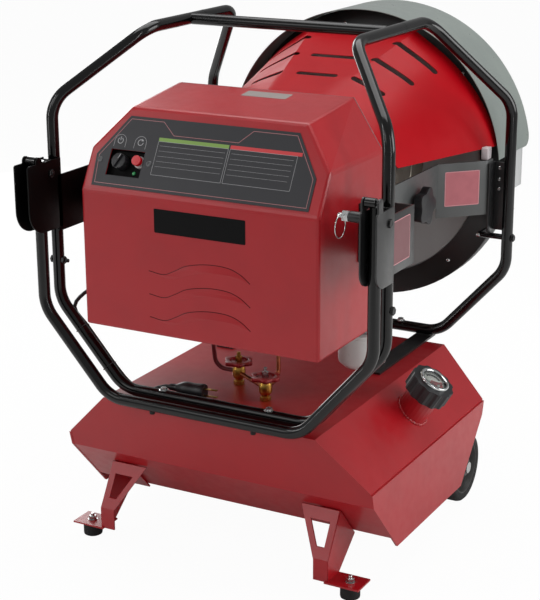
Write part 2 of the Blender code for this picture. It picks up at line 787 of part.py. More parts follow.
def build_filler():
    mouth = along_filler(NECK_OUTSIDE)
    turned(
        "filler_neck",
        [(NECK_RADIUS, -NECK_INSIDE - NECK_OUTSIDE), (NECK_RADIUS, 0), (NECK_RADIUS - NECK_WALL, 0),
         (NECK_RADIUS - NECK_WALL, -NECK_INSIDE - NECK_OUTSIDE)],
        mouth, FILLER_AXIS, 24, red_paint(),
    )
    cap_foot = NECK_OUTSIDE - CAP_SKIRT_DROP
    cap_top = cap_foot + CAP_HEIGHT
    grips = CAP_GRIPS * 4
    side = FILLER_AXIS.orthogonal().normalized()
    other = FILLER_AXIS.cross(side)
    bm = bmesh.new()
    ring = []
    for i in range(grips):
        radius = CAP_RADIUS - (CAP_GRIP_DEPTH if i % 4 in (2, 3) else 0)
        turn = i / grips * 360 * DEG
        ring.append(bm.verts.new(
            along_filler(cap_foot) + side * radius * math.cos(turn) + other * radius * math.sin(turn)
        ))
    made = bmesh.ops.extrude_face_region(bm, geom=[bm.faces.new(ring)])
    bmesh.ops.translate(
        bm, verts=[item for item in made["geom"] if isinstance(item, bmesh.types.BMVert)],
        vec=FILLER_AXIS * CAP_HEIGHT,
    )
    cap = finish("filler_cap", bm, black_plastic())
    skirt_top = NECK_OUTSIDE + SEAT
    cut(cap, rod("cut_cap_skirt", along_filler(cap_foot - OVERRUN), along_filler(skirt_top),
                 NECK_RADIUS + RUN_FIT, black_plastic(), 24))
    cut(cap, rod("cut_cap_dial", along_filler(cap_top - DIAL_DEPTH), along_filler(cap_top + OVERRUN),
                 DIAL_RADIUS, black_plastic(), 24))
    cut(cap, rod("cut_cap_stem", along_filler(cap_foot), along_filler(cap_top + OVERRUN),
                 GAUGE_ROD_RADIUS + RUN_FIT, black_plastic(), 16))
    seat = cap_top + SEAT
    turned(
        "gauge_bezel",
        [(BEZEL_RADIUS, 0), (BEZEL_RADIUS, BEZEL_HEIGHT - BEZEL_LIP), (BEZEL_RADIUS - BEZEL_LIP, BEZEL_HEIGHT),
         (DIAL_RADIUS, BEZEL_HEIGHT), (DIAL_RADIUS, BEZEL_HEIGHT - BEZEL_LIP),
         (LENS_RADIUS + SEAT, BEZEL_HEIGHT - BEZEL_LIP), (LENS_RADIUS + SEAT, 0)],
        along_filler(seat), FILLER_AXIS, 24, bright_steel(),
    )
    rod("gauge_lens", along_filler(seat), along_filler(seat + LENS_THICKNESS), LENS_RADIUS,
        material("lens", (0.8, 0.8, 0.8), 0.1), 24)
    needle_low = cap_top - DIAL_DEPTH + SEAT
    needle = rod(
        "gauge_needle", along_filler(needle_low + NEEDLE_THICKNESS), along_filler(cap_foot - GAUGE_ROD_LENGTH),
        GAUGE_ROD_RADIUS, red_paint(), 12,
    )
    bm = bmesh.new()
    across = side * NEEDLE_LENGTH
    half = other * NEEDLE_WIDTH / 2
    tail = side * GAUGE_ROD_RADIUS * 2
    face = bm.faces.new([
        bm.verts.new(along_filler(needle_low) + spot) for spot in (across, half - tail, -half - tail)
    ])
    made = bmesh.ops.extrude_face_region(bm, geom=[face])
    bmesh.ops.translate(
        bm, verts=[item for item in made["geom"] if isinstance(item, bmesh.types.BMVert)],
        vec=FILLER_AXIS * NEEDLE_THICKNESS * 2,
    )
    fuse(needle, finish("join_needle", bm, red_paint()))
    rod_end = cap_foot - GAUGE_ROD_LENGTH
    fuse(needle, rod("join_rod_stop", along_filler(rod_end + LAP), along_filler(rod_end - GAUGE_ROD_RADIUS),
                     GAUGE_ROD_STOP, red_paint(), 12))
    float_middle = along_filler(cap_foot - GAUGE_ROD_LENGTH + GAUGE_FLOAT_REST)
    turned(
        "gauge_float",
        [(GAUGE_ROD_RADIUS + RUN_FIT, -GAUGE_FLOAT_HEIGHT / 2), (GAUGE_FLOAT_RADIUS, -GAUGE_FLOAT_HEIGHT / 2),
         (GAUGE_FLOAT_RADIUS, GAUGE_FLOAT_HEIGHT / 2), (GAUGE_ROD_RADIUS + RUN_FIT, GAUGE_FLOAT_HEIGHT / 2)],
        float_middle, FILLER_AXIS, 18, black_plastic(),
    )
    for name in ("filler_cap", "gauge_bezel", "gauge_lens", "gauge_needle", "gauge_float"):
        move_origin(bpy.data.objects[name], along_filler(cap_top))


# Legs, feet, axle and wheels

FLANGE_Z = FOOT_HEIGHT + SEAT


def off_face(z, away):
    """A point just outside the tank's lower front face, as (y, z)."""
    run = (TANK_MID_DEPTH - TANK_END_FOOT_DEPTH) / 2
    rise = TANK_MID_Z - TANK_END_FOOT_Z
    spot = Vector((-lower_face_y(z), z)) - Vector((rise, run)).normalized() * away
    return (spot.x, spot.y)


def leg_front_plate(name, side, outer, paint):
    """The front plate: upright at the foot, then leaning back and widening inwards to the tank."""
    foot_z = FLANGE_Z + LEG_SHEET / 2
    top_y = -off_face(LEG_TOP_Z, SEAT + LAP)[0]
    foot_in, top_in = outer - LEG_PLATE_FOOT_WIDTH, outer - LEG_PLATE_TOP_WIDTH
    low = [
        (side * x, y, z)
        for x in (outer - LAP / 2, foot_in + LAP / 2)
        for z in (foot_z, LEG_BEND_Z + LAP)
        for y in (-LEG_FOOT_FRONT_Y, -LEG_FOOT_FRONT_Y + LEG_SHEET)
    ]
    high = [
        (side * x, y + shift, z)
        for x, y, z in ((outer, -LEG_FOOT_FRONT_Y, LEG_BEND_Z), (foot_in, -LEG_FOOT_FRONT_Y, LEG_BEND_Z),
                        (outer, -top_y - LEG_SHEET, LEG_TOP_Z), (top_in, -top_y - LEG_SHEET, LEG_TOP_Z))
        for shift in (0, LEG_SHEET)
    ]
    plate = hull(f"join_leg_plate_{name}", high, paint)
    corners = [(outer, LEG_BEND_Z), (foot_in, LEG_BEND_Z), (top_in, LEG_TOP_Z), (outer, LEG_TOP_Z)]
    middle = Vector((sum(x for x, z in corners), sum(z for x, z in corners))) / len(corners)
    window = [middle + (Vector(corner) - middle) * LEG_WINDOW_SHARE for corner in corners]
    cut(plate, prism(f"cut_leg_{name}", [(side * spot.x, spot.y) for spot in window], "Y",
                     -LEG_FOOT_FRONT_Y - OVERRUN, -LEG_TOP_BACK_Y, paint))
    fuse(plate, hull(f"join_leg_shin_{name}", low, paint))
    return plate


def build_legs():
    paint = red_paint()
    for side in (LEFT, RIGHT):
        name = side_name(side)
        tab_low_z = lower_face_z(LEG_TOP_BACK_Y)
        middle = SEAT + LEG_SHEET / 2
        outline = [
            (-LEG_FOOT_FRONT_Y + LAP, FLANGE_Z + LEG_SHEET - LAP), (-LEG_FOOT_BACK_Y, FLANGE_Z + LEG_SHEET - LAP),
            off_face(tab_low_z + LAP, middle), off_face(LEG_TOP_Z - LAP, middle),
            (-LEG_FOOT_FRONT_Y + LAP, LEG_BEND_Z),
        ]
        inner, outer = LEG_X - LEG_SHEET / 2, LEG_X + LEG_SHEET / 2
        leg = prism(f"leg_{name}", outline, "X", side * inner, side * outer, paint)
        fuse(leg, leg_front_plate(name, side, outer - LAP, paint))
        strip = [
            off_face(tab_low_z, SEAT), off_face(LEG_TOP_Z, SEAT),
            off_face(LEG_TOP_Z, SEAT + LEG_SHEET), off_face(tab_low_z, SEAT + LEG_SHEET),
        ]
        fuse(leg, prism(f"join_leg_strip_{name}", strip, "X", side * (outer - LAP),
                        side * (outer - LEG_TAB_WIDTH), paint))
        flange_half = (LEG_FOOT_FRONT_Y - LEG_FOOT_BACK_Y) / 2 + LEG_SHEET
        flange = block(
            f"join_flange_{name}",
            (min(side * (inner - LEG_SHEET), side * (inner + LEG_FLANGE_REACH)), -FOOT_Y - flange_half, FLANGE_Z),
            (max(side * (inner - LEG_SHEET), side * (inner + LEG_FLANGE_REACH)), -FOOT_Y + flange_half,
             FLANGE_Z + LEG_SHEET),
            paint,
        )
        fuse(leg, flange)
        cut(leg, rod(f"cut_stud_{name}", (side * FOOT_X, -FOOT_Y, 0), (side * FOOT_X, -FOOT_Y, LEG_BEND_Z),
                     FOOT_STUD_RADIUS + RUN_FIT, paint))
        nut_z = FLANGE_Z + LEG_SHEET + SEAT
        foot = turned(
            f"foot_{name}",
            [(0, 0), (FOOT_RADIUS - LEG_SHEET, 0), (FOOT_RADIUS, LEG_SHEET), (FOOT_RADIUS, FOOT_HEIGHT),
             (FOOT_STUD_RADIUS, FOOT_HEIGHT), (FOOT_STUD_RADIUS, nut_z + FOOT_NUT_HEIGHT + FOOT_STUD_TIP),
             (0, nut_z + FOOT_NUT_HEIGHT + FOOT_STUD_TIP)],
            (side * FOOT_X, -FOOT_Y, 0), (0, 0, 1), 16, rubber(),
        )
        fuse(foot, rod(f"join_foot_nut_{name}", (side * FOOT_X, -FOOT_Y, nut_z),
                       (side * FOOT_X, -FOOT_Y, nut_z + FOOT_NUT_HEIGHT), FOOT_NUT_RADIUS, bright_steel(), 6))


def build_wheels():
    cap_start = WHEEL_OUTER_X + WHEEL_PLAY
    turned(
        "axle",
        [(0, -cap_start - AXLE_CAP_LENGTH), (AXLE_CAP_RADIUS, -cap_start - AXLE_CAP_LENGTH),
         (AXLE_CAP_RADIUS, -cap_start), (AXLE_RADIUS, -cap_start), (AXLE_RADIUS, cap_start),
         (AXLE_CAP_RADIUS, cap_start), (AXLE_CAP_RADIUS, cap_start + AXLE_CAP_LENGTH),
         (0, cap_start + AXLE_CAP_LENGTH)],
        (0, AXLE_Y, AXLE_Z), (1, 0, 0), 14, bright_steel(),
    )
    bore = AXLE_RADIUS + RUN_FIT
    half, web = WHEEL_WIDTH / 2, WHEEL_WEB / 2
    half_profile = [
        (bore, half), (WHEEL_HUB_RADIUS, half), (WHEEL_HUB_RADIUS, web), (WHEEL_RIM_RADIUS, web),
        (WHEEL_RIM_RADIUS, half), (WHEEL_RADIUS - WHEEL_TREAD_ROUND, half),
        (WHEEL_RADIUS, half - WHEEL_TREAD_ROUND),
    ]
    profile = half_profile + [(radius, -along) for radius, along in reversed(half_profile)]
    for side in (LEFT, RIGHT):
        centre = (side * (WHEEL_OUTER_X - half), AXLE_Y, AXLE_Z)
        move_origin(turned(f"wheel_{side_name(side)}", profile, centre, (1, 0, 0), 22, rubber()), centre)


# Tube frame

RUN_FRONT_Z = TANK_TOP_Z + SEAT + TUBE_RADIUS
RUN_REAR_Z = TANK_TOP_Z + SEAT + RAIL_THICKNESS + SEAT + TUBE_RADIUS
TUBE_INNER_X = FRAME_HALF_WIDTH - TUBE_RADIUS
RIM_BACK_Y = REFLECTOR_Y - SEAT - RIM_SHEET


def mirrored_route(half):
    """Repeat the right half of a route on the left, ending where it began."""
    return half + [(-x, y, z) for x, y, z in reversed(half)]


def rim_back_at(radius):
    """How far forward the back of the reflector's rim lies at a radius."""
    share = (radius - RIM_INNER_RADIUS) / (RIM_RADIUS - RIM_INNER_RADIUS)
    return RIM_BACK_Y + (RIM_EDGE_Y - RIM_BACK_Y) * share


def build_frame():
    paint = black_paint()
    front = swept_tube("front_frame", rounded_route(mirrored_route([
        (FRAME_TOP_HALF_WIDTH, FRAME_TOP_JOINT_Y, FRAME_TOP_Z),
        (FRAME_TOP_HALF_WIDTH, -FRAME_TOP_FRONT_Y, FRAME_TOP_Z),
        (FRAME_HALF_WIDTH, -FRAME_FRONT_Y, FRONT_SHOULDER_Z),
        (FRAME_HALF_WIDTH, -FRAME_FRONT_Y, KNEE_Z),
        (RUN_HALF_LENGTH, -FRAME_FRONT_Y, RUN_FRONT_Z),
    ]), BEND_RADIUS, BEND_STEPS), TUBE_RADIUS, paint)
    rear = swept_tube("rear_frame", rounded_route(mirrored_route([
        (FRAME_TOP_HALF_WIDTH, FRAME_TOP_JOINT_Y + SEAT, FRAME_TOP_Z),
        (FRAME_TOP_HALF_WIDTH, FRAME_TOP_REAR_Y, FRAME_TOP_Z),
        (FRAME_HALF_WIDTH, FRAME_REAR_Y, REAR_SHOULDER_Z),
        (FRAME_HALF_WIDTH, FRAME_REAR_Y, KNEE_Z),
        (RUN_HALF_LENGTH, FRAME_REAR_Y, RUN_REAR_Z),
    ]), BEND_RADIUS, BEND_STEPS), TUBE_RADIUS, paint)
    for side in (LEFT, RIGHT):
        name = side_name(side)
        for tube, y, z in ((front, -FRAME_FRONT_Y, RUN_FRONT_Z), (rear, FRAME_REAR_Y, RUN_REAR_Z)):
            fuse(tube, rod(f"join_bolt_{tube.name}_{name}", (side * FRAME_BOLT_X, y, z),
                           (side * FRAME_BOLT_X, y, z + TUBE_RADIUS + FRAME_BOLT_HEAD), FRAME_BOLT_RADIUS,
                           paint, 6))
        for part, reach, radius in (("nut", STOP_BOLT_HEAD, STOP_BOLT_HEAD_RADIUS),
                                    ("stud", STOP_BOLT_REACH, STOP_BOLT_RADIUS)):
            start_x = FRAME_HALF_WIDTH - TUBE_RADIUS - reach
            end_x = FRAME_HALF_WIDTH + TUBE_RADIUS + (STOP_BOLT_HEAD if part == "nut" else 0)
            fuse(front, rod(f"join_stop_{part}_{name}", (side * start_x, -FRAME_FRONT_Y, STOP_BOLT_Z),
                            (side * end_x, -FRAME_FRONT_Y, STOP_BOLT_Z), radius, paint, 6))
        standoff_x = math.sqrt(RIM_RADIUS ** 2 - (HEAT_Z - STANDOFF_Z) ** 2)
        touch_y = rim_back_at(RIM_RADIUS - STANDOFF_RADIUS) - SEAT
        fuse(rear, rod(f"join_standoff_{name}", (side * FRAME_HALF_WIDTH, FRAME_REAR_Y, STANDOFF_Z),
                       (side * (standoff_x - STANDOFF_RADIUS), FRAME_REAR_Y, STANDOFF_Z), STANDOFF_RADIUS, paint, 10))
        fuse(rear, rod(f"join_standoff_tip_{name}", (side * standoff_x, FRAME_REAR_Y, STANDOFF_Z),
                       (side * standoff_x, touch_y - STANDOFF_RADIUS / 2, STANDOFF_Z), STANDOFF_RADIUS - LAP,
                       paint, 10))
        lug_x = SIDE_LABEL_OUTER_X + SIDE_SHEET / 2 + SEAT
        lug_back = FRAME_REAR_Y - LUG_SHEET / 2
        leg = block(
            f"join_lug_{name}",
            (min(side * lug_x, side * (lug_x + LUG_SHEET)), SIDE_LABEL_OUTER_Y - SIDE_SHEET, LUG_LOW_Z),
            (max(side * lug_x, side * (lug_x + LUG_SHEET)), lug_back + LAP, LUG_HIGH_Z), paint,
        )
        fuse(rear, leg)
        web = block(
            f"join_lug_web_{name}",
            (min(side * (lug_x + LAP), side * FRAME_HALF_WIDTH), lug_back, LUG_LOW_Z + LAP),
            (max(side * (lug_x + LAP), side * FRAME_HALF_WIDTH), lug_back + LUG_SHEET, LUG_HIGH_Z - LAP), paint,
        )
        fuse(rear, web)
    bar = rod("crossbar", (-FRAME_TOP_HALF_WIDTH, CROSSBAR_Y, FRAME_TOP_Z),
              (FRAME_TOP_HALF_WIDTH, CROSSBAR_Y, FRAME_TOP_Z), TUBE_RADIUS - LAP, paint, 14)
    for side in (LEFT, RIGHT):
        spot = Vector((side * FRAME_TOP_HALF_WIDTH, CROSSBAR_Y, FRAME_TOP_Z))
        half = Vector((0, TUBE_RADIUS + OVERRUN, 0))
        cut(bar, rod(f"cut_cope_{side_name(side)}", spot - half, spot + half, TUBE_RADIUS + SEAT, paint, 24))
    for side in (LEFT, RIGHT):
        outer = RAIL_INNER_X + RAIL_WIDTH
        block(
            f"base_rail_{side_name(side)}",
            (min(side * RAIL_INNER_X, side * outer), RAIL_FRONT_Y, TANK_TOP_Z + SEAT),
            (max(side * RAIL_INNER_X, side * outer), RAIL_REAR_Y, TANK_TOP_Z + SEAT + RAIL_THICKNESS), paint,
        )


# Fold-out handle, its brackets and its spring plungers

HANDLE_Y = FRAME_FRONT_Y + HANDLE_OFFSET
PLATE_X = TUBE_INNER_X - SEAT
OUTER_PLATE_X = FRAME_HALF_WIDTH + TUBE_RADIUS + BRACKET_OUTER_ROOM
WEB_Y = FRAME_FRONT_Y + TUBE_RADIUS + SEAT
PIVOT_Y = HANDLE_Y + PIVOT_FORWARD


def bracket_outline(nose, rise, rounding, back_y):
    """The side bracket seen from the side: a rounded lower front, and an ear round the handle's pivot."""
    front = HANDLE_Y + nose
    foot_z, shoulder_z = BRACKET_FOOT_Z + rise, BRACKET_SHOULDER_Z + rise
    low = arc((-front + rounding, foot_z + rounding), rounding, 180 * DEG, 270 * DEG, ROUND_STEPS)
    ear = arc((-PIVOT_Y, PIVOT_Z), BRACKET_EAR_HALF, 0, 180 * DEG, ROUND_STEPS)
    return low + [
        (-back_y, foot_z), (-back_y, shoulder_z), (-PIVOT_Y + BRACKET_EAR_HALF, shoulder_z), *ear,
        (-PIVOT_Y - BRACKET_EAR_HALF, shoulder_z), (-front + BRACKET_CHAMFER, shoulder_z),
        (-front, shoulder_z - BRACKET_CHAMFER),
    ]


def build_brackets():
    paint = grey_paint()
    for side, nose, rise, rounding in (
        (LEFT, BRACKET_NOSE_LEFT, BRACKET_LEFT_RISE, BRACKET_ROUND_LEFT),
        (RIGHT, BRACKET_NOSE_RIGHT, 0, BRACKET_ROUND_RIGHT),
    ):
        name = side_name(side)
        inner = PLATE_X - BRACKET_SHEET
        foot_z, shoulder_z = BRACKET_FOOT_Z + rise, BRACKET_SHOULDER_Z + rise
        arm_low, arm_high = ARM_LOW_Z + rise, ARM_HIGH_Z + rise
        outline = bracket_outline(nose, rise, rounding, WEB_Y - TUBE_RADIUS)
        plate = prism(f"side_bracket_{name}", outline, "X", side * inner, side * PLATE_X, paint)
        arm = [(-WEB_Y, arm_low), (-ARM_END_Y, arm_low), (-ARM_END_Y, arm_high), (-WEB_Y, arm_high)]
        fuse(plate, prism(f"join_arm_{name}", arm, "X", side * inner, side * PLATE_X, paint))
        box_side = BOX_HALF_WIDTH + SEAT
        fuse(plate, block(
            f"join_arm_return_{name}",
            (min(side * box_side, side * (PLATE_X - LAP)), -ARM_END_Y - BRACKET_SHEET, arm_low + LAP),
            (max(side * box_side, side * (PLATE_X - LAP)), -ARM_END_Y - LAP, arm_high - LAP), paint,
        ))
        fuse(plate, block(
            f"join_arm_tab_{name}",
            (min(side * box_side, side * (box_side + BRACKET_SHEET)), -ARM_END_Y - ARM_TAB, arm_low),
            (max(side * box_side, side * (box_side + BRACKET_SHEET)), -ARM_END_Y - BRACKET_SHEET / 2, arm_high),
            paint,
        ))
        outer_outline = bracket_outline(nose, rise, rounding, WEB_Y)
        fuse(plate, prism(f"join_outer_plate_{name}", outer_outline, "X", side * OUTER_PLATE_X,
                          side * (OUTER_PLATE_X + BRACKET_SHEET), paint))
        fuse(plate, block(
            f"join_web_{name}",
            (min(side * (inner + LAP), side * (OUTER_PLATE_X + LAP)), -WEB_Y - BRACKET_SHEET,
             foot_z + BRACKET_SHEET),
            (max(side * (inner + LAP), side * (OUTER_PLATE_X + LAP)), -WEB_Y, shoulder_z - BRACKET_SHEET),
            paint,
        ))
        outside = OUTER_PLATE_X + BRACKET_SHEET
        fuse(plate, rod(f"join_pivot_{name}", (side * (inner + LAP), -PIVOT_Y, PIVOT_Z),
                        (side * (outside - LAP), -PIVOT_Y, PIVOT_Z), PIVOT_RADIUS, paint, 14))
        bolt_z = PLATE_BOLT_Z + rise
        bolt_tip = inner - PLATE_BOLT_HEAD - PLATE_BOLT_TIP
        fuse(plate, rod(f"join_plate_bolt_{name}", (side * bolt_tip, -PLATE_BOLT_Y, bolt_z),
                        (side * (outside - LAP), -PLATE_BOLT_Y, bolt_z), PLATE_BOLT_RADIUS, paint, 10))
        for part, start_x, end_x in (("nut", inner + LAP, inner - PLATE_BOLT_HEAD),
                                     ("head", outside - LAP, outside + PLATE_BOLT_HEAD)):
            fuse(plate, rod(f"join_plate_{part}_{name}", (side * start_x, -PLATE_BOLT_Y, bolt_z),
                            (side * end_x, -PLATE_BOLT_Y, bolt_z), PLATE_BOLT_HEAD_RADIUS, paint, 6))
        if side == RIGHT:
            build_plunger(plate, inner)


def build_plunger(plate, plate_inner):
    """The spring plunger on the inside of the right bracket, and its hole in the bracket."""
    steel = bright_steel()
    bore = PLUNGER_PIN_RADIUS + RUN_FIT
    cut(plate, rod("cut_plunger", (plate_inner - OVERRUN, -HANDLE_Y, PLUNGER_Z),
                   (PLATE_X + SEAT, -HANDLE_Y, PLUNGER_Z), bore, steel, 16))
    inward = Vector((-1, 0, 0))
    start = Vector((plate_inner - SEAT, -HANDLE_Y, PLUNGER_Z))
    room = plate_inner - BOX_HALF_WIDTH
    collar = room * PLUNGER_COLLAR_SHARE
    nut_end = collar + room * PLUNGER_NUT_SHARE
    tail_start = nut_end + PLUNGER_TAIL_ROOM
    tail_end = tail_start + room * PLUNGER_TAIL_SHARE
    body = turned(
        "plunger_body",
        [(bore, 0), (PLUNGER_COLLAR_RADIUS, 0), (PLUNGER_COLLAR_RADIUS, collar + LAP), (bore, collar + LAP)],
        start, inward, 14, steel,
    )
    nut = rod("join_plunger_nut", start + inward * collar, start + inward * nut_end, PLUNGER_NUT_RADIUS, steel, 6)
    cut(nut, rod("cut_plunger_nut", start, start + inward * (nut_end + OVERRUN), bore, steel, 12))
    fuse(body, nut)
    pin = turned(
        "plunger",
        [(0, -BRACKET_SHEET), (PLUNGER_PIN_RADIUS, -BRACKET_SHEET), (PLUNGER_PIN_RADIUS, tail_start),
         (PLUNGER_TAIL_RADIUS, tail_start), (PLUNGER_TAIL_RADIUS, tail_end), (0, tail_end)],
        start, inward, 12, steel,
    )
    eye = start + inward * (tail_start + tail_end) / 2
    reach = Vector((0, PLUNGER_TAIL_RADIUS + OVERRUN, 0))
    cut(pin, rod("cut_eye", eye - reach, eye + reach, RING_EYE, steel, 10))
    move_origin(pin, eye)
    sag = RING_RADIUS - math.sqrt(RING_RADIUS ** 2 - PLUNGER_TAIL_RADIUS ** 2)
    centre = eye - Vector((0, 0, RING_RADIUS - sag / 2))
    wire = [(RING_RADIUS + a, b) for a, b in arc((0, 0), RING_WIRE, 0, RING_OPEN_TURN, 3)]
    ring = turned("pull_ring", wire, centre, (1, 0, 0), RING_STEPS, steel)
    move_origin(ring, eye)


def build_handle():
    paint = black_paint()
    handle = swept_tube("fold_handle", rounded_route(mirrored_route([
        (FRAME_HALF_WIDTH, -HANDLE_Y, PIVOT_Z - HANDLE_TOP_DROP),
        (FRAME_HALF_WIDTH, -HANDLE_Y, KNEE_Z - HANDLE_DROP),
        (RUN_HALF_LENGTH, -HANDLE_Y, RUN_FRONT_Z - HANDLE_DROP),
    ]), BEND_RADIUS, BEND_STEPS), TUBE_RADIUS, paint)
    for side in (LEFT, RIGHT):
        name = side_name(side)
        run_z = RUN_FRONT_Z - HANDLE_DROP
        fuse(handle, rod(f"join_bumper_{name}", (side * BUMPER_X, -HANDLE_Y, run_z),
                         (side * BUMPER_X, -HANDLE_Y, run_z - TUBE_RADIUS - BUMPER_LENGTH), BUMPER_RADIUS,
                         rubber(), 12))
        eye = Vector((side * FRAME_HALF_WIDTH, -PIVOT_Y, PIVOT_Z))
        half = Vector((PIVOT_EYE_LENGTH / 2, 0, 0))
        over = Vector((OVERRUN, 0, 0))
        fuse(handle, rod(f"join_eye_{name}", eye - half, eye + half, PIVOT_EYE_RADIUS, paint, 16))
        cut(handle, rod(f"cut_pivot_{name}", eye - half - over, eye + half + over, PIVOT_RADIUS + RUN_FIT,
                        paint, 14))
    move_origin(handle, (0, -PIVOT_Y, PIVOT_Z))


# Control box and panel

PANEL_UP = Vector((0, BOX_FRONT_Y - BOX_BROW_Y, BOX_BROW_Z - BOX_CREASE_Z)).normalized()
PANEL_OUT = Vector((0, -PANEL_UP.z, PANEL_UP.y))


def on_panel(x, up, out=0.0):
    """A point on the leaning panel: across, up from the crease, and out from its surface."""
    return Vector((x, -BOX_FRONT_Y, BOX_CREASE_Z)) + PANEL_UP * up + PANEL_OUT * out


def panel_prism(name, outline, out_low, out_high, paint):
    """Extrude an outline drawn on the panel, square to the panel."""
    bm = bmesh.new()
    face = bm.faces.new([bm.verts.new(on_panel(x, up, out_low)) for x, up in outline])
    made = bmesh.ops.extrude_face_region(bm, geom=[face])
    moved = [item for item in made["geom"] if isinstance(item, bmesh.types.BMVert)]
    bmesh.ops.translate(bm, verts=moved, vec=PANEL_OUT * (out_high - out_low))
    return finish(name, bm, paint)


def panel_box(name, x, up, width, height, out_low, out_high, paint):
    half_w, half_h = width / 2, height / 2
    outline = [(x - half_w, up - half_h), (x + half_w, up - half_h), (x + half_w, up + half_h),
               (x - half_w, up + half_h)]
    return panel_prism(name, outline, out_low, out_high, paint)


def brow_y(z):
    """How far forward the leaning panel is at a height."""
    share = (z - BOX_CREASE_Z) / (BOX_BROW_Z - BOX_CREASE_Z)
    return BOX_FRONT_Y + (BOX_BROW_Y - BOX_FRONT_Y) * share


def build_box():
    paint = red_paint()
    corners = []
    for side in (LEFT, RIGHT):
        corners += [
            (side * BOX_HALF_WIDTH, -BOX_FRONT_Y, BOX_FOOT_Z), (side * BOX_HALF_WIDTH, -BOX_REAR_Y, BOX_FOOT_Z),
            (side * BOX_HALF_WIDTH, -BOX_FRONT_Y, BOX_CREASE_Z),
            (side * BOX_HALF_WIDTH, -brow_y(BOX_SHOULDER_Z), BOX_SHOULDER_Z),
            (side * BOX_HALF_WIDTH, -BOX_REAR_Y, BOX_SHOULDER_Z),
            (side * BOX_BROW_HALF_WIDTH, -BOX_BROW_Y, BOX_BROW_Z),
            (side * BOX_TOP_REAR_HALF_WIDTH, -BOX_REAR_Y, BOX_TOP_REAR_Z),
        ]
    box = hull("control_box", corners, paint)
    round_off = box.modifiers.new("round_off", "BEVEL")
    round_off.width = BOX_EDGE_ROUND
    round_off.segments = 2
    round_off.limit_method = "ANGLE"
    round_off.angle_limit = 25 * DEG
    wall = box.modifiers.new("wall", "SOLIDIFY")
    wall.thickness = BOX_SHEET
    wall.offset = -1
    wall.use_even_offset = True
    rim = BOX_REAR_RIM
    opening = [
        (-BOX_HALF_WIDTH + rim, BOX_FOOT_Z + rim), (BOX_HALF_WIDTH - rim, BOX_FOOT_Z + rim),
        (BOX_HALF_WIDTH - rim, BOX_SHOULDER_Z - rim / 2), (BOX_TOP_REAR_HALF_WIDTH - rim / 2, BOX_TOP_REAR_Z - rim),
        (-BOX_TOP_REAR_HALF_WIDTH + rim / 2, BOX_TOP_REAR_Z - rim), (-BOX_HALF_WIDTH + rim, BOX_SHOULDER_Z - rim / 2),
    ]
    cut(box, prism("cut_box_back", opening, "Y", -BOX_REAR_Y - OVERRUN, -BOX_REAR_Y + OVERRUN, paint))
    cut(box, block(
        "cut_box_floor",
        (-BOX_FLOOR_OPENING_X, -BOX_FLOOR_OPENING_Y - BOX_FLOOR_OPENING_HALF_DEPTH, BOX_FOOT_Z - OVERRUN),
        (BOX_FLOOR_OPENING_X, -BOX_FLOOR_OPENING_Y + BOX_FLOOR_OPENING_HALF_DEPTH, BOX_FOOT_Z + OVERRUN), paint,
    ))
    cut(box, panel_box("cut_box_tray", -TRAY_CENTRE_X, TRAY_CENTRE_U, TRAY_WIDTH, TRAY_HEIGHT, -OVERRUN, OVERRUN,
                       paint))
    cut(box, rod("cut_box_gland", (-BOX_HALF_WIDTH - OVERRUN, -GLAND_Y, GLAND_Z),
                 (-BOX_HALF_WIDTH + OVERRUN, -GLAND_Y, GLAND_Z), GLAND_BARREL_RADIUS + RUN_FIT, paint, 20))
    edge = BOX_SHEET
    outline = [
        (-BOX_HALF_WIDTH + edge, BOX_FOOT_Z + edge), (BOX_HALF_WIDTH - edge, BOX_FOOT_Z + edge),
        (BOX_HALF_WIDTH - edge, BOX_SHOULDER_Z - edge), (BOX_TOP_REAR_HALF_WIDTH - edge, BOX_TOP_REAR_Z - edge),
        (-BOX_TOP_REAR_HALF_WIDTH + edge, BOX_TOP_REAR_Z - edge), (-BOX_HALF_WIDTH + edge, BOX_SHOULDER_Z - edge),
    ]
    rear = prism("box_rear_panel", outline, "Y", -BOX_REAR_Y + SEAT, -BOX_REAR_Y + SEAT + BOX_SHEET, paint)
    cut(rear, rod("cut_rear_blast", (0, -BOX_REAR_Y - OVERRUN, HEAT_Z), (0, -BOX_REAR_Y + OVERRUN, HEAT_Z),
                  BLAST_RADIUS + SEAT, paint, 36))


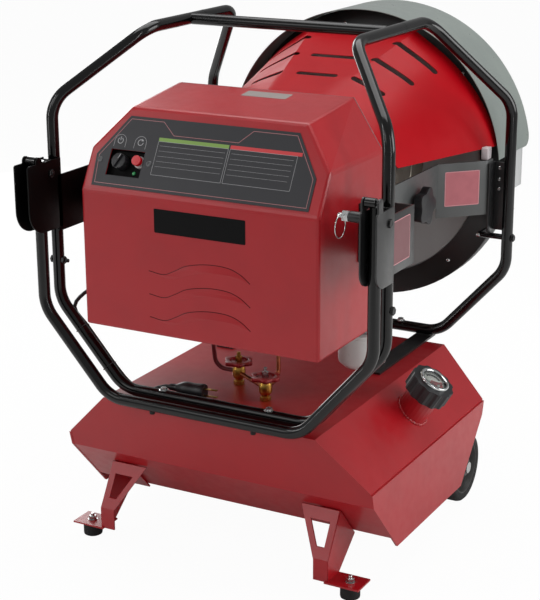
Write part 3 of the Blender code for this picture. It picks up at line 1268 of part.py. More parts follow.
def build_panel():
    plastic = black_plastic()
    decal = panel_prism("overlay_plate", [
        (-DECAL_LEFT_X, DECAL_LOW_U), (DECAL_RIGHT_X, DECAL_LOW_U), (DECAL_RIGHT_X, DECAL_SHOULDER_U),
        (DECAL_TOP_RIGHT_X, DECAL_TOP_U), (-DECAL_TOP_LEFT_X, DECAL_TOP_U), (-DECAL_WIDE_X, DECAL_SHOULDER_U),
    ], SEAT, SEAT + DECAL_SHEET, grey_paint())
    cut(decal, panel_box("cut_decal_tray", -TRAY_CENTRE_X, TRAY_CENTRE_U, TRAY_WIDTH, TRAY_HEIGHT, -OVERRUN,
                         OVERRUN, plastic))
    behind = -BOX_SHEET - SEAT
    tray = panel_box("switch_panel", -TRAY_CENTRE_X, TRAY_CENTRE_U, TRAY_WIDTH + TRAY_RIM * 2,
                     TRAY_HEIGHT + TRAY_RIM * 2, -TRAY_DEPTH - TRAY_FLOOR, behind - LAP, plastic)
    fuse(tray, panel_box("join_tray_flange", -TRAY_CENTRE_X, TRAY_CENTRE_U, TRAY_WIDTH + TRAY_FLANGE * 2,
                         TRAY_HEIGHT + TRAY_RIM * 3, behind - TRAY_FLANGE_SHEET, behind, plastic))
    cut(tray, panel_box("cut_tray_pocket", -TRAY_CENTRE_X, TRAY_CENTRE_U, TRAY_WIDTH, TRAY_HEIGHT, -TRAY_DEPTH,
                        OVERRUN, plastic))
    holes = (
        ("knob", KNOB_X, KNOB_U, KNOB_SHAFT_RADIUS), ("button", BUTTON_X, BUTTON_U, COLLAR_BARREL_RADIUS),
        ("green", LED_GREEN_X, LED_U, LED_RADIUS), ("red", LED_RED_X, LED_U, LED_RADIUS),
    )
    for name, x, up, radius in holes:
        cut(tray, rod(f"cut_tray_{name}", on_panel(-x, up, -TRAY_DEPTH - TRAY_FLOOR - OVERRUN),
                      on_panel(-x, up, 0), radius + RUN_FIT, plastic, 14))
    floor = -TRAY_DEPTH + SEAT
    knob = turned(
        "switch_knob",
        [(0, floor - TRAY_FLOOR - KNOB_SHAFT_LENGTH), (KNOB_SHAFT_RADIUS, floor - TRAY_FLOOR - KNOB_SHAFT_LENGTH),
         (KNOB_SHAFT_RADIUS, floor), (KNOB_RADIUS, floor), (KNOB_RADIUS - TRAY_RIM, KNOB_PROUD), (0, KNOB_PROUD)],
        on_panel(-KNOB_X, KNOB_U), PANEL_OUT, 24, plastic,
    )
    fuse(knob, panel_box("join_knob_ridge", -KNOB_X, KNOB_U, KNOB_RIDGE_WIDTH, (KNOB_RADIUS - TRAY_RIM) * 2,
                         KNOB_PROUD - LAP, KNOB_PROUD + KNOB_RIDGE_HEIGHT, plastic))
    move_origin(knob, on_panel(-KNOB_X, KNOB_U))
    bore = BUTTON_STEM_RADIUS + RUN_FIT
    barrel_low = floor - TRAY_FLOOR - COLLAR_BARREL_LENGTH
    turned(
        "reset_collar",
        [(bore, barrel_low), (COLLAR_BARREL_RADIUS, barrel_low), (COLLAR_BARREL_RADIUS, floor),
         (COLLAR_RADIUS, floor), (COLLAR_RADIUS, floor + COLLAR_HEIGHT), (bore, floor + COLLAR_HEIGHT)],
        on_panel(-BUTTON_X, BUTTON_U), PANEL_OUT, 20, plastic,
    )
    head_low = floor + COLLAR_HEIGHT + BUTTON_TRAVEL + SEAT
    button = turned(
        "reset_button",
        [(0, head_low - BUTTON_STEM_INSIDE), (BUTTON_STEM_RADIUS, head_low - BUTTON_STEM_INSIDE),
         (BUTTON_STEM_RADIUS, head_low), (BUTTON_HEAD_RADIUS, head_low),
         (BUTTON_HEAD_RADIUS, head_low + BUTTON_HEAD_HEIGHT), (0, head_low + BUTTON_HEAD_HEIGHT)],
        on_panel(-BUTTON_X, BUTTON_U), PANEL_OUT, 20, red_paint(),
    )
    move_origin(button, on_panel(-BUTTON_X, BUTTON_U))
    board_x = -(LED_GREEN_X + LED_RED_X) / 2
    back = -TRAY_DEPTH - TRAY_FLOOR - SEAT
    board_top = back - BOARD_STANDOFF
    board = panel_box("control_board", board_x, LED_U, BOARD_WIDTH, BOARD_HEIGHT, board_top - BOARD_THICKNESS,
                      board_top, material("board", (0.02, 0.16, 0.05), 0.5))
    for index, post_side in enumerate((LEFT, RIGHT)):
        x = board_x + post_side * BOARD_POST_SPACING / 2
        fuse(board, rod(f"join_post_{index}", on_panel(x, LED_U, board_top - LAP), on_panel(x, LED_U, back),
                        BOARD_POST_RADIUS, plastic, 8))
    for index, x in enumerate((LED_GREEN_X, LED_RED_X)):
        fuse(board, rod(f"join_led_{index}", on_panel(-x, LED_U, board_top - LAP),
                        on_panel(-x, LED_U, -TRAY_DEPTH + LED_PROUD), LED_RADIUS, plastic, 10))


# Burner

DRUM_BACK_Y = -BOX_REAR_Y
DRUM_FRONT_Y = DRUM_BACK_Y - VOLUTE_LENGTH
MOTOR_FRONT_Y = DRUM_FRONT_Y - SEAT - MOTOR_LENGTH


def build_burner():
    steel = bright_steel()
    shaft_hole = SHAFT_RADIUS + RUN_FIT
    inside = BLAST_RADIUS - VOLUTE_WALL
    housing = turned(
        "burner_housing",
        [(shaft_hole, 0), (VOLUTE_RADIUS, 0), (VOLUTE_RADIUS, VOLUTE_LENGTH), (BLAST_RADIUS, VOLUTE_LENGTH),
         (BLAST_RADIUS, VOLUTE_LENGTH + BLAST_REACH), (inside, VOLUTE_LENGTH + BLAST_REACH),
         (inside, VOLUTE_LENGTH - VOLUTE_WALL), (VOLUTE_RADIUS - VOLUTE_WALL, VOLUTE_LENGTH - VOLUTE_WALL),
         (VOLUTE_RADIUS - VOLUTE_WALL, VOLUTE_WALL), (shaft_hole, VOLUTE_WALL)],
        (0, DRUM_FRONT_Y, HEAT_Z), (0, 1, 0), ROUND_PIECE_STEPS, grey_paint(),
    )
    slot_half = VOLUTE_SLOT_WIDTH / 2
    middle = DRUM_FRONT_Y + VOLUTE_LENGTH / 2
    cut(housing, block("cut_inlet", (-slot_half, middle - slot_half, HEAT_Z - VOLUTE_RADIUS - OVERRUN),
                       (slot_half, middle + slot_half, HEAT_Z - VOLUTE_INLET_RADIUS), steel))
    bore_profile = [(shaft_hole, 0), (MOTOR_RADIUS, 0), (MOTOR_RADIUS, MOTOR_LENGTH), (shaft_hole, MOTOR_LENGTH)]
    turned("blower_motor", bore_profile, (0, MOTOR_FRONT_Y, HEAT_Z), (0, 1, 0), 22, grey_paint())
    pump_back = MOTOR_FRONT_Y - SEAT
    pump = block("fuel_pump", (-PUMP_WIDTH / 2, pump_back - PUMP_LENGTH, HEAT_Z - PUMP_HEIGHT / 2),
                 (PUMP_WIDTH / 2, pump_back, HEAT_Z + PUMP_HEIGHT / 2), steel)
    cut(pump, rod("cut_pump_bore", (0, pump_back - SHAFT_IN_PUMP - SEAT, HEAT_Z), (0, pump_back + OVERRUN, HEAT_Z),
                  shaft_hole, steel, 16))
    disc_front = DRUM_FRONT_Y + FAN_SIDE_ROOM
    fan = turned(
        "blower_wheel",
        [(0, pump_back - SHAFT_IN_PUMP), (SHAFT_RADIUS, pump_back - SHAFT_IN_PUMP), (SHAFT_RADIUS, disc_front),
         (FAN_RADIUS, disc_front), (FAN_RADIUS, disc_front + FAN_DISC), (FAN_HUB_RADIUS, disc_front + FAN_DISC),
         (FAN_HUB_RADIUS, disc_front + FAN_WIDTH / 2), (0, disc_front + FAN_WIDTH / 2)],
        (0, 0, HEAT_Z), (0, 1, 0), 18, steel,
    )
    blade_depth = FAN_RADIUS * FAN_BLADE_SHARE
    for blade in range(FAN_BLADES):
        turn = blade / FAN_BLADES * 360 * DEG
        outward = Vector((math.cos(turn), math.sin(turn)))
        across = Vector((-outward.y, outward.x))
        tip = outward * (FAN_RADIUS - LAP)
        root = outward * (FAN_RADIUS - blade_depth) + across * blade_depth / 2
        half = across * FAN_DISC / 4
        outline = [(spot.x, HEAT_Z + spot.y) for spot in (tip - half, tip + half, root + half, root - half)]
        fuse(fan, prism(f"join_blade_{blade}", outline, "Y", disc_front + LAP, disc_front + FAN_WIDTH, steel))
    move_origin(fan, (0, disc_front, HEAT_Z))
    back = -BOX_REAR_Y
    block(
        "ignition_transformer",
        (-TRANSFORMER_X - TRANSFORMER_WIDTH / 2, back - TRANSFORMER_DEPTH, TRANSFORMER_Z - TRANSFORMER_HEIGHT / 2),
        (-TRANSFORMER_X + TRANSFORMER_WIDTH / 2, back, TRANSFORMER_Z + TRANSFORMER_HEIGHT / 2), black_plastic(),
    )


# Chamber, reflector, hood and cover

PANEL_BACK_Y = -BOX_REAR_Y + SEAT + BOX_SHEET


def build_head():
    steel = bright_steel()
    heat = (0, 1, 0)
    start = PANEL_BACK_Y + SEAT
    length = CHAMBER_FRONT_Y - start
    opening = BLAST_RADIUS + SEAT
    inner = CHAMBER_RADIUS - CHAMBER_WALL
    turned(
        "combustion_chamber",
        [(opening, 0), (CHAMBER_RADIUS, 0), (CHAMBER_RADIUS, length), (inner, length), (inner, CHAMBER_WALL),
         (opening, CHAMBER_WALL)],
        (0, start, HEAT_Z), heat, ROUND_PIECE_STEPS, steel,
    )
    dome = EMITTER_RISE - EMITTER_SHEET
    outside = [(EMITTER_RADIUS * math.cos(t), EMITTER_SHEET + dome * math.sin(t))
               for t in [90 * DEG * i / ROUND_STEPS for i in range(ROUND_STEPS + 1)]]
    cup = inner - EMITTER_SHEET
    inside = [(cup * math.cos(t), EMITTER_SHEET + (dome - EMITTER_SHEET) * math.sin(t))
              for t in [90 * DEG * i / ROUND_STEPS for i in range(ROUND_STEPS, -1, -1)]]
    outside[-1] = (0, EMITTER_RISE)
    inside[0] = (0, EMITTER_RISE - EMITTER_SHEET)
    turned("emitter_disc", [(EMITTER_RADIUS, 0), *outside, *inside, (cup, 0)],
           (0, CHAMBER_FRONT_Y + SEAT, HEAT_Z), heat, ROUND_PIECE_STEPS, steel)
    edge = RIM_RADIUS - RIM_SHEET - SEAT
    hole = CHAMBER_RADIUS + SEAT
    turned(
        "reflector",
        [(hole, 0), (REFLECTOR_FLAT_RADIUS, 0), (edge, REFLECTOR_DEPTH - REFLECTOR_SHEET), (edge, REFLECTOR_DEPTH),
         (REFLECTOR_FLAT_RADIUS - REFLECTOR_SHEET, REFLECTOR_SHEET), (hole, REFLECTOR_SHEET)],
        (0, REFLECTOR_Y, HEAT_Z), heat, ROUND_PIECE_STEPS, grey_paint(),
    )
    turned(
        "reflector_rim",
        [(RIM_INNER_RADIUS, RIM_BACK_Y), (RIM_RADIUS, RIM_EDGE_Y), (RIM_RADIUS, RIM_FRONT_Y),
         (RIM_RADIUS - RIM_SHEET, RIM_FRONT_Y), (RIM_RADIUS - RIM_SHEET, RIM_EDGE_Y + RIM_SHEET),
         (RIM_INNER_RADIUS, RIM_BACK_Y + RIM_SHEET)],
        (0, 0, HEAT_Z), heat, ROUND_PIECE_STEPS, black_paint(),
    )
    half_facet = (180 * DEG - 2 * HOOD_FOOT_ANGLE) / HOOD_STEPS / 2
    hood_in = (RIM_RADIUS + SEAT) / math.cos(half_facet)
    sweep = arc((0, HEAT_Z), hood_in + HOOD_SHEET, HOOD_FOOT_ANGLE, 180 * DEG - HOOD_FOOT_ANGLE, HOOD_STEPS)
    under = arc((0, HEAT_Z), hood_in, 180 * DEG - HOOD_FOOT_ANGLE, HOOD_FOOT_ANGLE, HOOD_STEPS)
    hood = prism("visor_hood", sweep + under, "Y", HOOD_BACK_Y, HOOD_FRONT_Y, grey_paint(), smooth=True)
    for side in (LEFT, RIGHT):
        fuse(hood, block(
            f"join_hood_tab_{side_name(side)}",
            (min(side * hood_in, side * (hood_in + HOOD_SHEET)), HOOD_TAB_BACK_Y, HOOD_TAB_LOW_Z),
            (max(side * hood_in, side * (hood_in + HOOD_SHEET)), HOOD_TAB_BACK_Y + HOOD_TAB_WIDTH,
             HEAT_Z + hood_in * math.sin(HOOD_FOOT_ANGLE) + HOOD_SHEET),
            grey_paint(),
        ))
    build_guard(edge)
    build_cover()


def build_guard(lip_radius):
    steel = bright_steel()
    ring_radius = lip_radius - GUARD_WIRE
    guard = None
    for index, share in enumerate(GUARD_RING_SHARES):
        section = arc((0, 0), GUARD_WIRE, GUARD_SECTION_START, GUARD_SECTION_END, 3)
        wire = [(ring_radius * share + a, b) for a, b in section]
        ring = turned(f"join_ring_{index}" if guard else "front_guard", wire, (0, GUARD_Y, HEAT_Z), (0, 1, 0), 26,
                      steel)
        if guard:
            fuse(guard, ring)
        guard = guard or ring
    for spoke in range(GUARD_SPOKES):
        turn = (spoke + 0.5) / GUARD_SPOKES * 360 * DEG
        outward = Vector((math.cos(turn), 0, math.sin(turn)))
        middle = Vector((0, GUARD_Y, HEAT_Z))
        inner = middle + outward * ring_radius * GUARD_RING_SHARES[-1]
        fuse(guard, rod(f"join_spoke_{spoke}", inner, middle + outward * ring_radius, GUARD_WIRE - LAP, steel, 6))
        foot = Vector((0, GUARD_FOOT_Y, HEAT_Z)) + outward * ring_radius
        top = middle + outward * ring_radius + Vector((0, LAP, 0))
        fuse(guard, rod(f"join_guard_leg_{spoke}", foot, top, GUARD_WIRE, steel, 7))


def cover_points(y):
    """The half outline of the top cover at a distance from front to back."""
    share = (y - COVER_REAR_Y) / (COVER_FRONT_Y - COVER_REAR_Y)
    return [Vector((a[0] + (b[0] - a[0]) * share, a[1] + (b[1] - a[1]) * share))
            for a, b in zip(COVER_REAR_HALF, COVER_FRONT_HALF)]


def build_cover():
    paint = red_paint()
    bm = bmesh.new()
    rows = []
    for y in (COVER_REAR_Y, COVER_FRONT_Y):
        half = cover_points(y)
        whole = [(-spot.x, spot.y) for spot in reversed(half)] + [(spot.x, spot.y) for spot in half]
        rows.append([bm.verts.new((x, y, z)) for x, z in whole])
    for i in range(len(rows[0]) - 1):
        bm.faces.new((rows[0][i], rows[0][i + 1], rows[1][i + 1], rows[1][i]))
    cover = finish("top_cover", bm, paint)
    if cover.data.polygons[0].normal.z < 0:
        cover.data.flip_normals()
    wall = cover.modifiers.new("wall", "SOLIDIFY")
    wall.thickness = COVER_SHEET
    wall.offset = -1
    wall.use_even_offset = True
    half_length, half_slot = COVER_SLOT_LENGTH / 2, COVER_SLOT_WIDTH / 2
    for index, y in enumerate((COVER_SLOT_LOW_Y, COVER_SLOT_HIGH_Y)):
        top = cover_points(y)[0].y
        cut(cover, block(f"cut_top_slot_{index}", (-half_length, y - half_slot, top - COVER_SLOT_LENGTH / 2),
                         (half_length, y + half_slot, top + OVERRUN), paint))
        first, second = cover_points(y)[0], cover_points(y)[1]
        middle = first.lerp(second, COVER_SIDE_SLOT_SHARE)
        along = (second - first).normalized()
        out = Vector((-along.y, along.x)) * OVERRUN
        for side in (LEFT, RIGHT):
            a, b = middle - along * half_length / 2, middle + along * half_length / 2
            outline = [(side * spot.x, spot.y) for spot in (a - out, b - out, b + out, a + out)]
            cut(cover, prism(f"cut_side_slot_{index}_{side_name(side)}", outline, "Y", y - half_slot,
                             y + half_slot, paint))
    for side in (LEFT, RIGHT):
        outer = SIDE_LABEL_OUTER_X - SIDE_SHEET / 2 - SEAT
        top = cover_points(SIDE_LABEL_OUTER_Y)[-1].y + SIDE_SHEET
        tab_y = SIDE_LABEL_OUTER_Y + SIDE_SHEET
        fuse(cover, block(
            f"join_cover_tab_{side_name(side)}",
            (min(side * (outer - COVER_TAB_WIDTH), side * outer), tab_y, top - COVER_TAB_HEIGHT),
            (max(side * (outer - COVER_TAB_WIDTH), side * outer), tab_y + COVER_TAB_LENGTH, top),
            paint,
        ))


def build_side_plates():
    paint = grey_paint()
    half = SIDE_SHEET / 2
    start = PANEL_BACK_Y + SEAT
    for side in (LEFT, RIGHT):
        name = side_name(side)
        inner = [(SIDE_X - SIDE_TAB, start + half), (SIDE_X, start + half), (SIDE_X, SIDE_LABEL_INNER_Y)]
        outer = [(SIDE_X, SIDE_LABEL_INNER_Y), (SIDE_LABEL_OUTER_X, SIDE_LABEL_OUTER_Y),
                 (SIDE_LABEL_OUTER_X, SIDE_LABEL_OUTER_Y + SIDE_TAIL)]
        plate = prism(f"support_panel_{name}", strip_outline(inner, half, side, LAP), "Z", SIDE_LOW_Z, SIDE_HIGH_Z,
                      paint)
        fuse(plate, prism(f"join_label_plate_{name}", strip_outline(outer, half, side, 0), "Z", SIDE_LABEL_LOW_Z,
                          SIDE_HIGH_Z + LAP, paint))
        cut(plate, rod(f"cut_clamp_{name}", (side * (SIDE_X - OVERRUN), CLAMP_Y, CLAMP_Z),
                       (side * (SIDE_X + OVERRUN), CLAMP_Y, CLAMP_Z), CLAMP_STUD_RADIUS + RUN_FIT, paint, 16))
    lobes = []
    for i in range(CLAMP_STEPS):
        turn = i / CLAMP_STEPS * 360 * DEG
        radius = CLAMP_RADIUS * (1 - CLAMP_LOBE_SHARE * (1 - math.cos(turn * CLAMP_LOBES)))
        lobes.append((CLAMP_Y + radius * math.cos(turn), CLAMP_Z + radius * math.sin(turn)))
    plate_out = SIDE_X + half + SEAT
    plastic = black_plastic()
    knob = prism("clamp_knob", lobes, "X", plate_out + CLAMP_HUB_LENGTH,
                 plate_out + CLAMP_HUB_LENGTH + CLAMP_THICKNESS, plastic, smooth=True)
    fuse(knob, rod("join_clamp_hub", (plate_out, CLAMP_Y, CLAMP_Z),
                   (plate_out + CLAMP_HUB_LENGTH + LAP, CLAMP_Y, CLAMP_Z), CLAMP_HUB_RADIUS, plastic, 20))
    fuse(knob, rod("join_clamp_stud", (plate_out + CLAMP_HUB_LENGTH, CLAMP_Y, CLAMP_Z),
                   (plate_out - CLAMP_STUD_LENGTH, CLAMP_Y, CLAMP_Z), CLAMP_STUD_RADIUS, bright_steel(), 12))
    move_origin(knob, (plate_out, CLAMP_Y, CLAMP_Z))


def strip_outline(route, half, side, overlap):
    """The outline in plan of a folded sheet that follows a route."""
    spots = [Vector(spot) for spot in route]
    spots[-1] = spots[-1] + (spots[-1] - spots[-2]).normalized() * overlap
    left_edge, right_edge = [], []
    for i, spot in enumerate(spots):
        runs = []
        if i:
            runs.append((spot - spots[i - 1]).normalized())
        if i < len(spots) - 1:
            runs.append((spots[i + 1] - spot).normalized())
        direction = sum(runs, Vector((0, 0))).normalized()
        across = Vector((-direction.y, direction.x))
        width = half / abs(across.dot(Vector((-runs[0].y, runs[0].x))))
        left_edge.append(spot + across * width)
        right_edge.append(spot - across * width)
    return [(side * spot.x, spot.y) for spot in left_edge + right_edge[::-1]]


# Fuel valves, hoses and filter

def handwheel_outline(x, y):
    """The lobed outline of a valve's handwheel, seen from above."""
    count = HANDWHEEL_LOBES * HANDWHEEL_LOBE_STEPS
    spots = []
    for i in range(count):
        turn = 360 * DEG * i / count
        radius = HANDWHEEL_RADIUS * (1 - HANDWHEEL_DIP_SHARE * (1 - math.cos(HANDWHEEL_LOBES * turn)))
        spots.append((x + radius * math.cos(turn), y + radius * math.sin(turn)))
    return spots


def build_fuel():
    metal = brass()
    tank = TANK_TOP_Z + SEAT
    body_z = tank + VALVE_BASE_HEIGHT
    stem_z = body_z + VALVE_BODY_HEIGHT
    spout_z = body_z + VALVE_BODY_HEIGHT / 2
    fuel = None
    for name, x, y in (("front", VALVE_FRONT_X, -VALVE_FRONT_Y), ("rear", VALVE_REAR_X, -VALVE_REAR_Y)):
        valve = turned(
            "fuel_line" if fuel is None else "join_valve_rear",
            [(0, tank), (VALVE_BASE_RADIUS, tank), (VALVE_BASE_RADIUS, body_z), (VALVE_BODY_RADIUS, body_z),
             (VALVE_BODY_RADIUS, stem_z), (VALVE_STEM_RADIUS, stem_z), (VALVE_STEM_RADIUS, stem_z + VALVE_STEM_HEIGHT),
             (0, stem_z + VALVE_STEM_HEIGHT)],
            (x, y, 0), (0, 0, 1), 14, metal,
        )
        if fuel:
            fuse(fuel, valve)
        fuel = fuel or valve
        grip_z = stem_z + VALVE_STEM_HEIGHT + SEAT
        grip_top_z = grip_z + HANDWHEEL_THICKNESS
        grip = prism(f"valve_handle_{name}", handwheel_outline(x, y), "Z", grip_z, grip_top_z, red_paint())
        fuse(grip, rod(f"join_grip_nut_{name}", (x, y, grip_z + LAP), (x, y, grip_top_z + HANDWHEEL_NUT_HEIGHT),
                       HANDWHEEL_NUT_RADIUS, bright_steel(), 6))
        move_origin(grip, (x, y, grip_z))
    filter_neck_z = FILTER_FOOT_Z + FILTER_CAN_HEIGHT + SEAT
    fuse(fuel, swept_tube("join_hose_pump", rounded_route([
        (VALVE_FRONT_X, -VALVE_FRONT_Y, spout_z), (VALVE_FRONT_X, -VALVE_FRONT_Y + VALVE_SPOUT_LENGTH * 2, spout_z),
        (VALVE_FRONT_X, -VALVE_FRONT_Y + VALVE_SPOUT_LENGTH * 2, HOSE_TOP_Z),
    ], HOSE_ROUND, HOSE_STEPS), HOSE_RADIUS, metal, 1))
    head_z = (filter_neck_z + FILTER_SHELF_Z) / 2
    hose_y = -VALVE_FRONT_Y + VALVE_SPOUT_LENGTH * 2
    fuse(fuel, swept_tube("join_hose_filter", rounded_route([
        (VALVE_FRONT_X, hose_y, head_z), (FILTER_X, hose_y, head_z), (FILTER_X, FILTER_Y, head_z),
    ], HOSE_ROUND, HOSE_STEPS), HOSE_RADIUS, metal, 1))
    fuse(fuel, swept_tube("join_hose_rear", rounded_route([
        (VALVE_REAR_X, -VALVE_REAR_Y, spout_z), (VALVE_REAR_X - VALVE_SPOUT_LENGTH * 2, -VALVE_REAR_Y, spout_z),
        (VALVE_REAR_X - VALVE_SPOUT_LENGTH * 2, -VALVE_REAR_Y - VALVE_SPOUT_LENGTH, HOSE_TOP_Z),
    ], HOSE_ROUND, HOSE_STEPS), HOSE_RADIUS, red_paint(), 1))
    fuse(fuel, swept_tube("join_hose_link", [
        Vector((VALVE_FRONT_X, -VALVE_FRONT_Y, spout_z - HOSE_RADIUS / 2)),
        Vector((VALVE_REAR_X, -VALVE_REAR_Y, spout_z - HOSE_RADIUS / 2)),
    ], HOSE_RADIUS, metal, 1))
    shelf_low = FILTER_SHELF_Z
    fuse(fuel, rod("join_filter_head", (FILTER_X, FILTER_Y, filter_neck_z), (FILTER_X, FILTER_Y, shelf_low + LAP),
                   FILTER_HEAD_RADIUS, metal, 18))
    shelf_back = PANEL_BACK_Y + SEAT
    fuse(fuel, block("join_filter_shelf", (FILTER_X - FILTER_SHELF_HALF_WIDTH, shelf_back, shelf_low),
                     (FILTER_X + FILTER_SHELF_HALF_WIDTH, shelf_back + FILTER_SHELF_DEPTH, shelf_low + SIDE_SHEET),
                     metal))
    fuse(fuel, block("join_filter_flange",
                     (FILTER_X - FILTER_SHELF_HALF_WIDTH + LAP, shelf_back, shelf_low + LAP),
                     (FILTER_X + FILTER_SHELF_HALF_WIDTH - LAP, shelf_back + SIDE_SHEET,
                      shelf_low + FILTER_SHELF_HALF_WIDTH),
                     metal))
    shoulder = FILTER_RADIUS - FILTER_HEAD_RADIUS
    can_top = FILTER_CAN_HEIGHT
    turned(
        "filter_can",
        [(0, 0), (FILTER_HEAD_RADIUS, 0), (FILTER_RADIUS, shoulder), (FILTER_RADIUS, can_top), (0, can_top)],
        (FILTER_X, FILTER_Y, FILTER_FOOT_Z), (0, 0, 1), 22, material("white_paint", (0.7, 0.7, 0.7), 0.4),
    )


# Mains cord and plug

GLAND_OUT_X = BOX_HALF_WIDTH + SEAT + GLAND_LENGTH
CORD_REST_Z = TANK_TOP_Z + SEAT + CORD_RADIUS


def rest_on_tank(points):
    """Lift what would dip into the tank's top until it lies on it."""
    edge = TANK_TOP_LENGTH / 2
    return [Vector((p.x, p.y, max(p.z, CORD_REST_Z))) if abs(p.x) < edge else p for p in points]


def behind_tube():
    """Points behind the left slanting tube of the front loop, where the cord hides."""
    knee = Vector((-FRAME_HALF_WIDTH, -FRAME_FRONT_Y, KNEE_Z))
    run = Vector((-RUN_HALF_LENGTH, -FRAME_FRONT_Y, RUN_FRONT_Z))
    back = Vector((0, TUBE_RADIUS + CORD_RADIUS + CORD_TUBE_ROOM, 0))
    return [knee.lerp(run, share) + back for share in CORD_TUBE_SHARES]


def build_cord():
    plastic = black_plastic()
    turned(
        "cord_gland",
        [(0, -GLAND_BARREL_LENGTH), (GLAND_BARREL_RADIUS, -GLAND_BARREL_LENGTH), (GLAND_BARREL_RADIUS, SEAT),
         (GLAND_RADIUS, SEAT), (GLAND_RADIUS - LAP, SEAT + GLAND_LENGTH), (0, SEAT + GLAND_LENGTH)],
        (-BOX_HALF_WIDTH, -GLAND_Y, GLAND_Z), (-1, 0, 0), 16, plastic,
    )
    heading = Vector((math.cos(PLUG_TURN), math.sin(PLUG_TURN), 0))
    plug_back = Vector((PLUG_X, PLUG_Y, TANK_TOP_Z + SEAT + PLUG_RADIUS))
    neck_end = plug_back - heading * (PLUG_NECK_LENGTH + SEAT)
    start = Vector((-GLAND_OUT_X - SEAT, -GLAND_Y, GLAND_Z))
    run = smooth_route([start, start + Vector(GLAND_LEAD), *CORD_ROUTE, *behind_tube(), *CORD_LANDING,
                        neck_end - heading * CORD_RADIUS * 3, neck_end], CORD_RADIUS * 3)
    run[1] = run[0] + Vector((-CORD_RADIUS * 2, 0, 0))
    run[-2] = neck_end - heading * CORD_RADIUS * 2
    run = rest_on_tank(run)
    cord_curve("cord_run", run, CORD_RADIUS, 2, rubber())
    print("cord length, m:", round(sum((b - a).length for a, b in zip(run, run[1:])), 3))
    build_plug(plug_back, heading, plastic)


def build_plug(back, heading, plastic):
    plug = turned(
        "plug",
        [(0, -PLUG_NECK_LENGTH), (PLUG_NECK_RADIUS, -PLUG_NECK_LENGTH), (PLUG_NECK_RADIUS + LAP, 0),
         (PLUG_RADIUS, PLUG_LENGTH / 4), (PLUG_RADIUS, PLUG_LENGTH), (0, PLUG_LENGTH)],
        back, heading, 16, plastic,
    )
    across = Vector((-heading.y, heading.x, 0))
    face = back + heading * (PLUG_LENGTH - LAP)
    for index, prong_side in enumerate((LEFT, RIGHT)):
        middle = face + Vector((0, 0, prong_side * PLUG_PRONG_SPACING / 2))
        bm = bmesh.new()
        half_thick = Vector((0, 0, PLUG_PRONG_THICKNESS / 2))
        half_wide = across * PLUG_PRONG_WIDTH / 2
        corners = [middle - half_thick - half_wide, middle + half_thick - half_wide,
                   middle + half_thick + half_wide, middle - half_thick + half_wide]
        made = bmesh.ops.extrude_face_region(bm, geom=[bm.faces.new([bm.verts.new(spot) for spot in corners])])
        moved = [item for item in made["geom"] if isinstance(item, bmesh.types.BMVert)]
        bmesh.ops.translate(bm, verts=moved, vec=heading * (PLUG_PRONG_LENGTH + LAP))
        fuse(plug, finish(f"join_prong_{index}", bm, brass()))


def centre_on_floor():
    """Hang every piece on one empty that puts the origin under the middle of the heater."""
    pieces = list(bpy.context.scene.objects)
    middle = bpy.data.objects.new("middle", None)
    bpy.context.scene.collection.objects.link(middle)
    middle.location.y = -(HOOD_FRONT_Y - HANDLE_Y - max(BRACKET_NOSE_LEFT, BRACKET_NOSE_RIGHT)) / 2
    for piece in pieces:
        piece.parent = middle


def main():
    clear_scene()
    build_tank()
    build_filler()
    build_legs()
    build_wheels()
    build_frame()
    build_brackets()
    build_handle()
    build_box()
    build_panel()
    build_burner()
    build_head()
    build_side_plates()
    build_fuel()
    build_cord()
    centre_on_floor()


main()
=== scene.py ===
"""Dresses the radiant heater: paint, plated parts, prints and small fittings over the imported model.

Metres, +Z up, the origin on the floor under the middle of the heater. +X is the right-hand side as seen from the
control panel and +Y is the way the heat goes. Sizes inside the classes are millimetres, those along Y counted from
the tank's middle. Each class is one sub-assembly of the heater and each finish is a frozen dataclass.
"""

import logging
import math
from dataclasses import dataclass, field
from enum import Enum
from typing import Iterable, Optional, Sequence

import bpy
from mathutils import Matrix, Vector


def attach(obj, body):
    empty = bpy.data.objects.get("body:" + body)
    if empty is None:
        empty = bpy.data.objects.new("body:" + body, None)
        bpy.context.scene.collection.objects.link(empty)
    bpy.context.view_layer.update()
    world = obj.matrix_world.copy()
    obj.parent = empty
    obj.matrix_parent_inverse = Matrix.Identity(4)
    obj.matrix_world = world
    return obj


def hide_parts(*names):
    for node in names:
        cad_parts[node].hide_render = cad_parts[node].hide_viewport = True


LOG = logging.getLogger("radiant_heater")

MM = 0.001
DEG = math.pi / 180
TANK_MIDDLE = -79.5           # the tank's middle in millimetres along Y, from which the sizes along Y are counted
RIGHT, AHEAD, UP = Vector((1, 0, 0)), Vector((0, 1, 0)), Vector((0, 0, 1))
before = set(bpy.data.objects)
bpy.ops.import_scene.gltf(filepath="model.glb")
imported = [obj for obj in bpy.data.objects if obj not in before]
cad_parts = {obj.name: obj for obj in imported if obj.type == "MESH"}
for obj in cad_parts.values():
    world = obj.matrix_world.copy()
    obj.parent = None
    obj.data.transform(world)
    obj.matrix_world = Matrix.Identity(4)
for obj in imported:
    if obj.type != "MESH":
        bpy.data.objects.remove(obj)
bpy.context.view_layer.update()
HEX_TURN = 12 * DEG           # how far the hexagon heads are turned
WHITE = (1, 1, 1, 1)
PIVOT = (-302, 707)           # Y and Z of the pivot of the folding handle

Spot = Sequence[float]
Outline = Sequence[Spot]
Piece = bpy.types.Object
Socket = bpy.types.NodeSocket


class Side(Enum):
    """The two sides of the heater, as seen from the control panel."""

    LEFT = -1
    RIGHT = 1

    @property
    def word(self) -> str:
        """The side's name as it stands in the names of nodes and bodies."""
        return self.name.lower()

    def span(self, near: float, far: float) -> list[float]:
        """Two distances from the middle as places along X on this side, the lower one first."""
        return sorted((self.value * near, self.value * far))


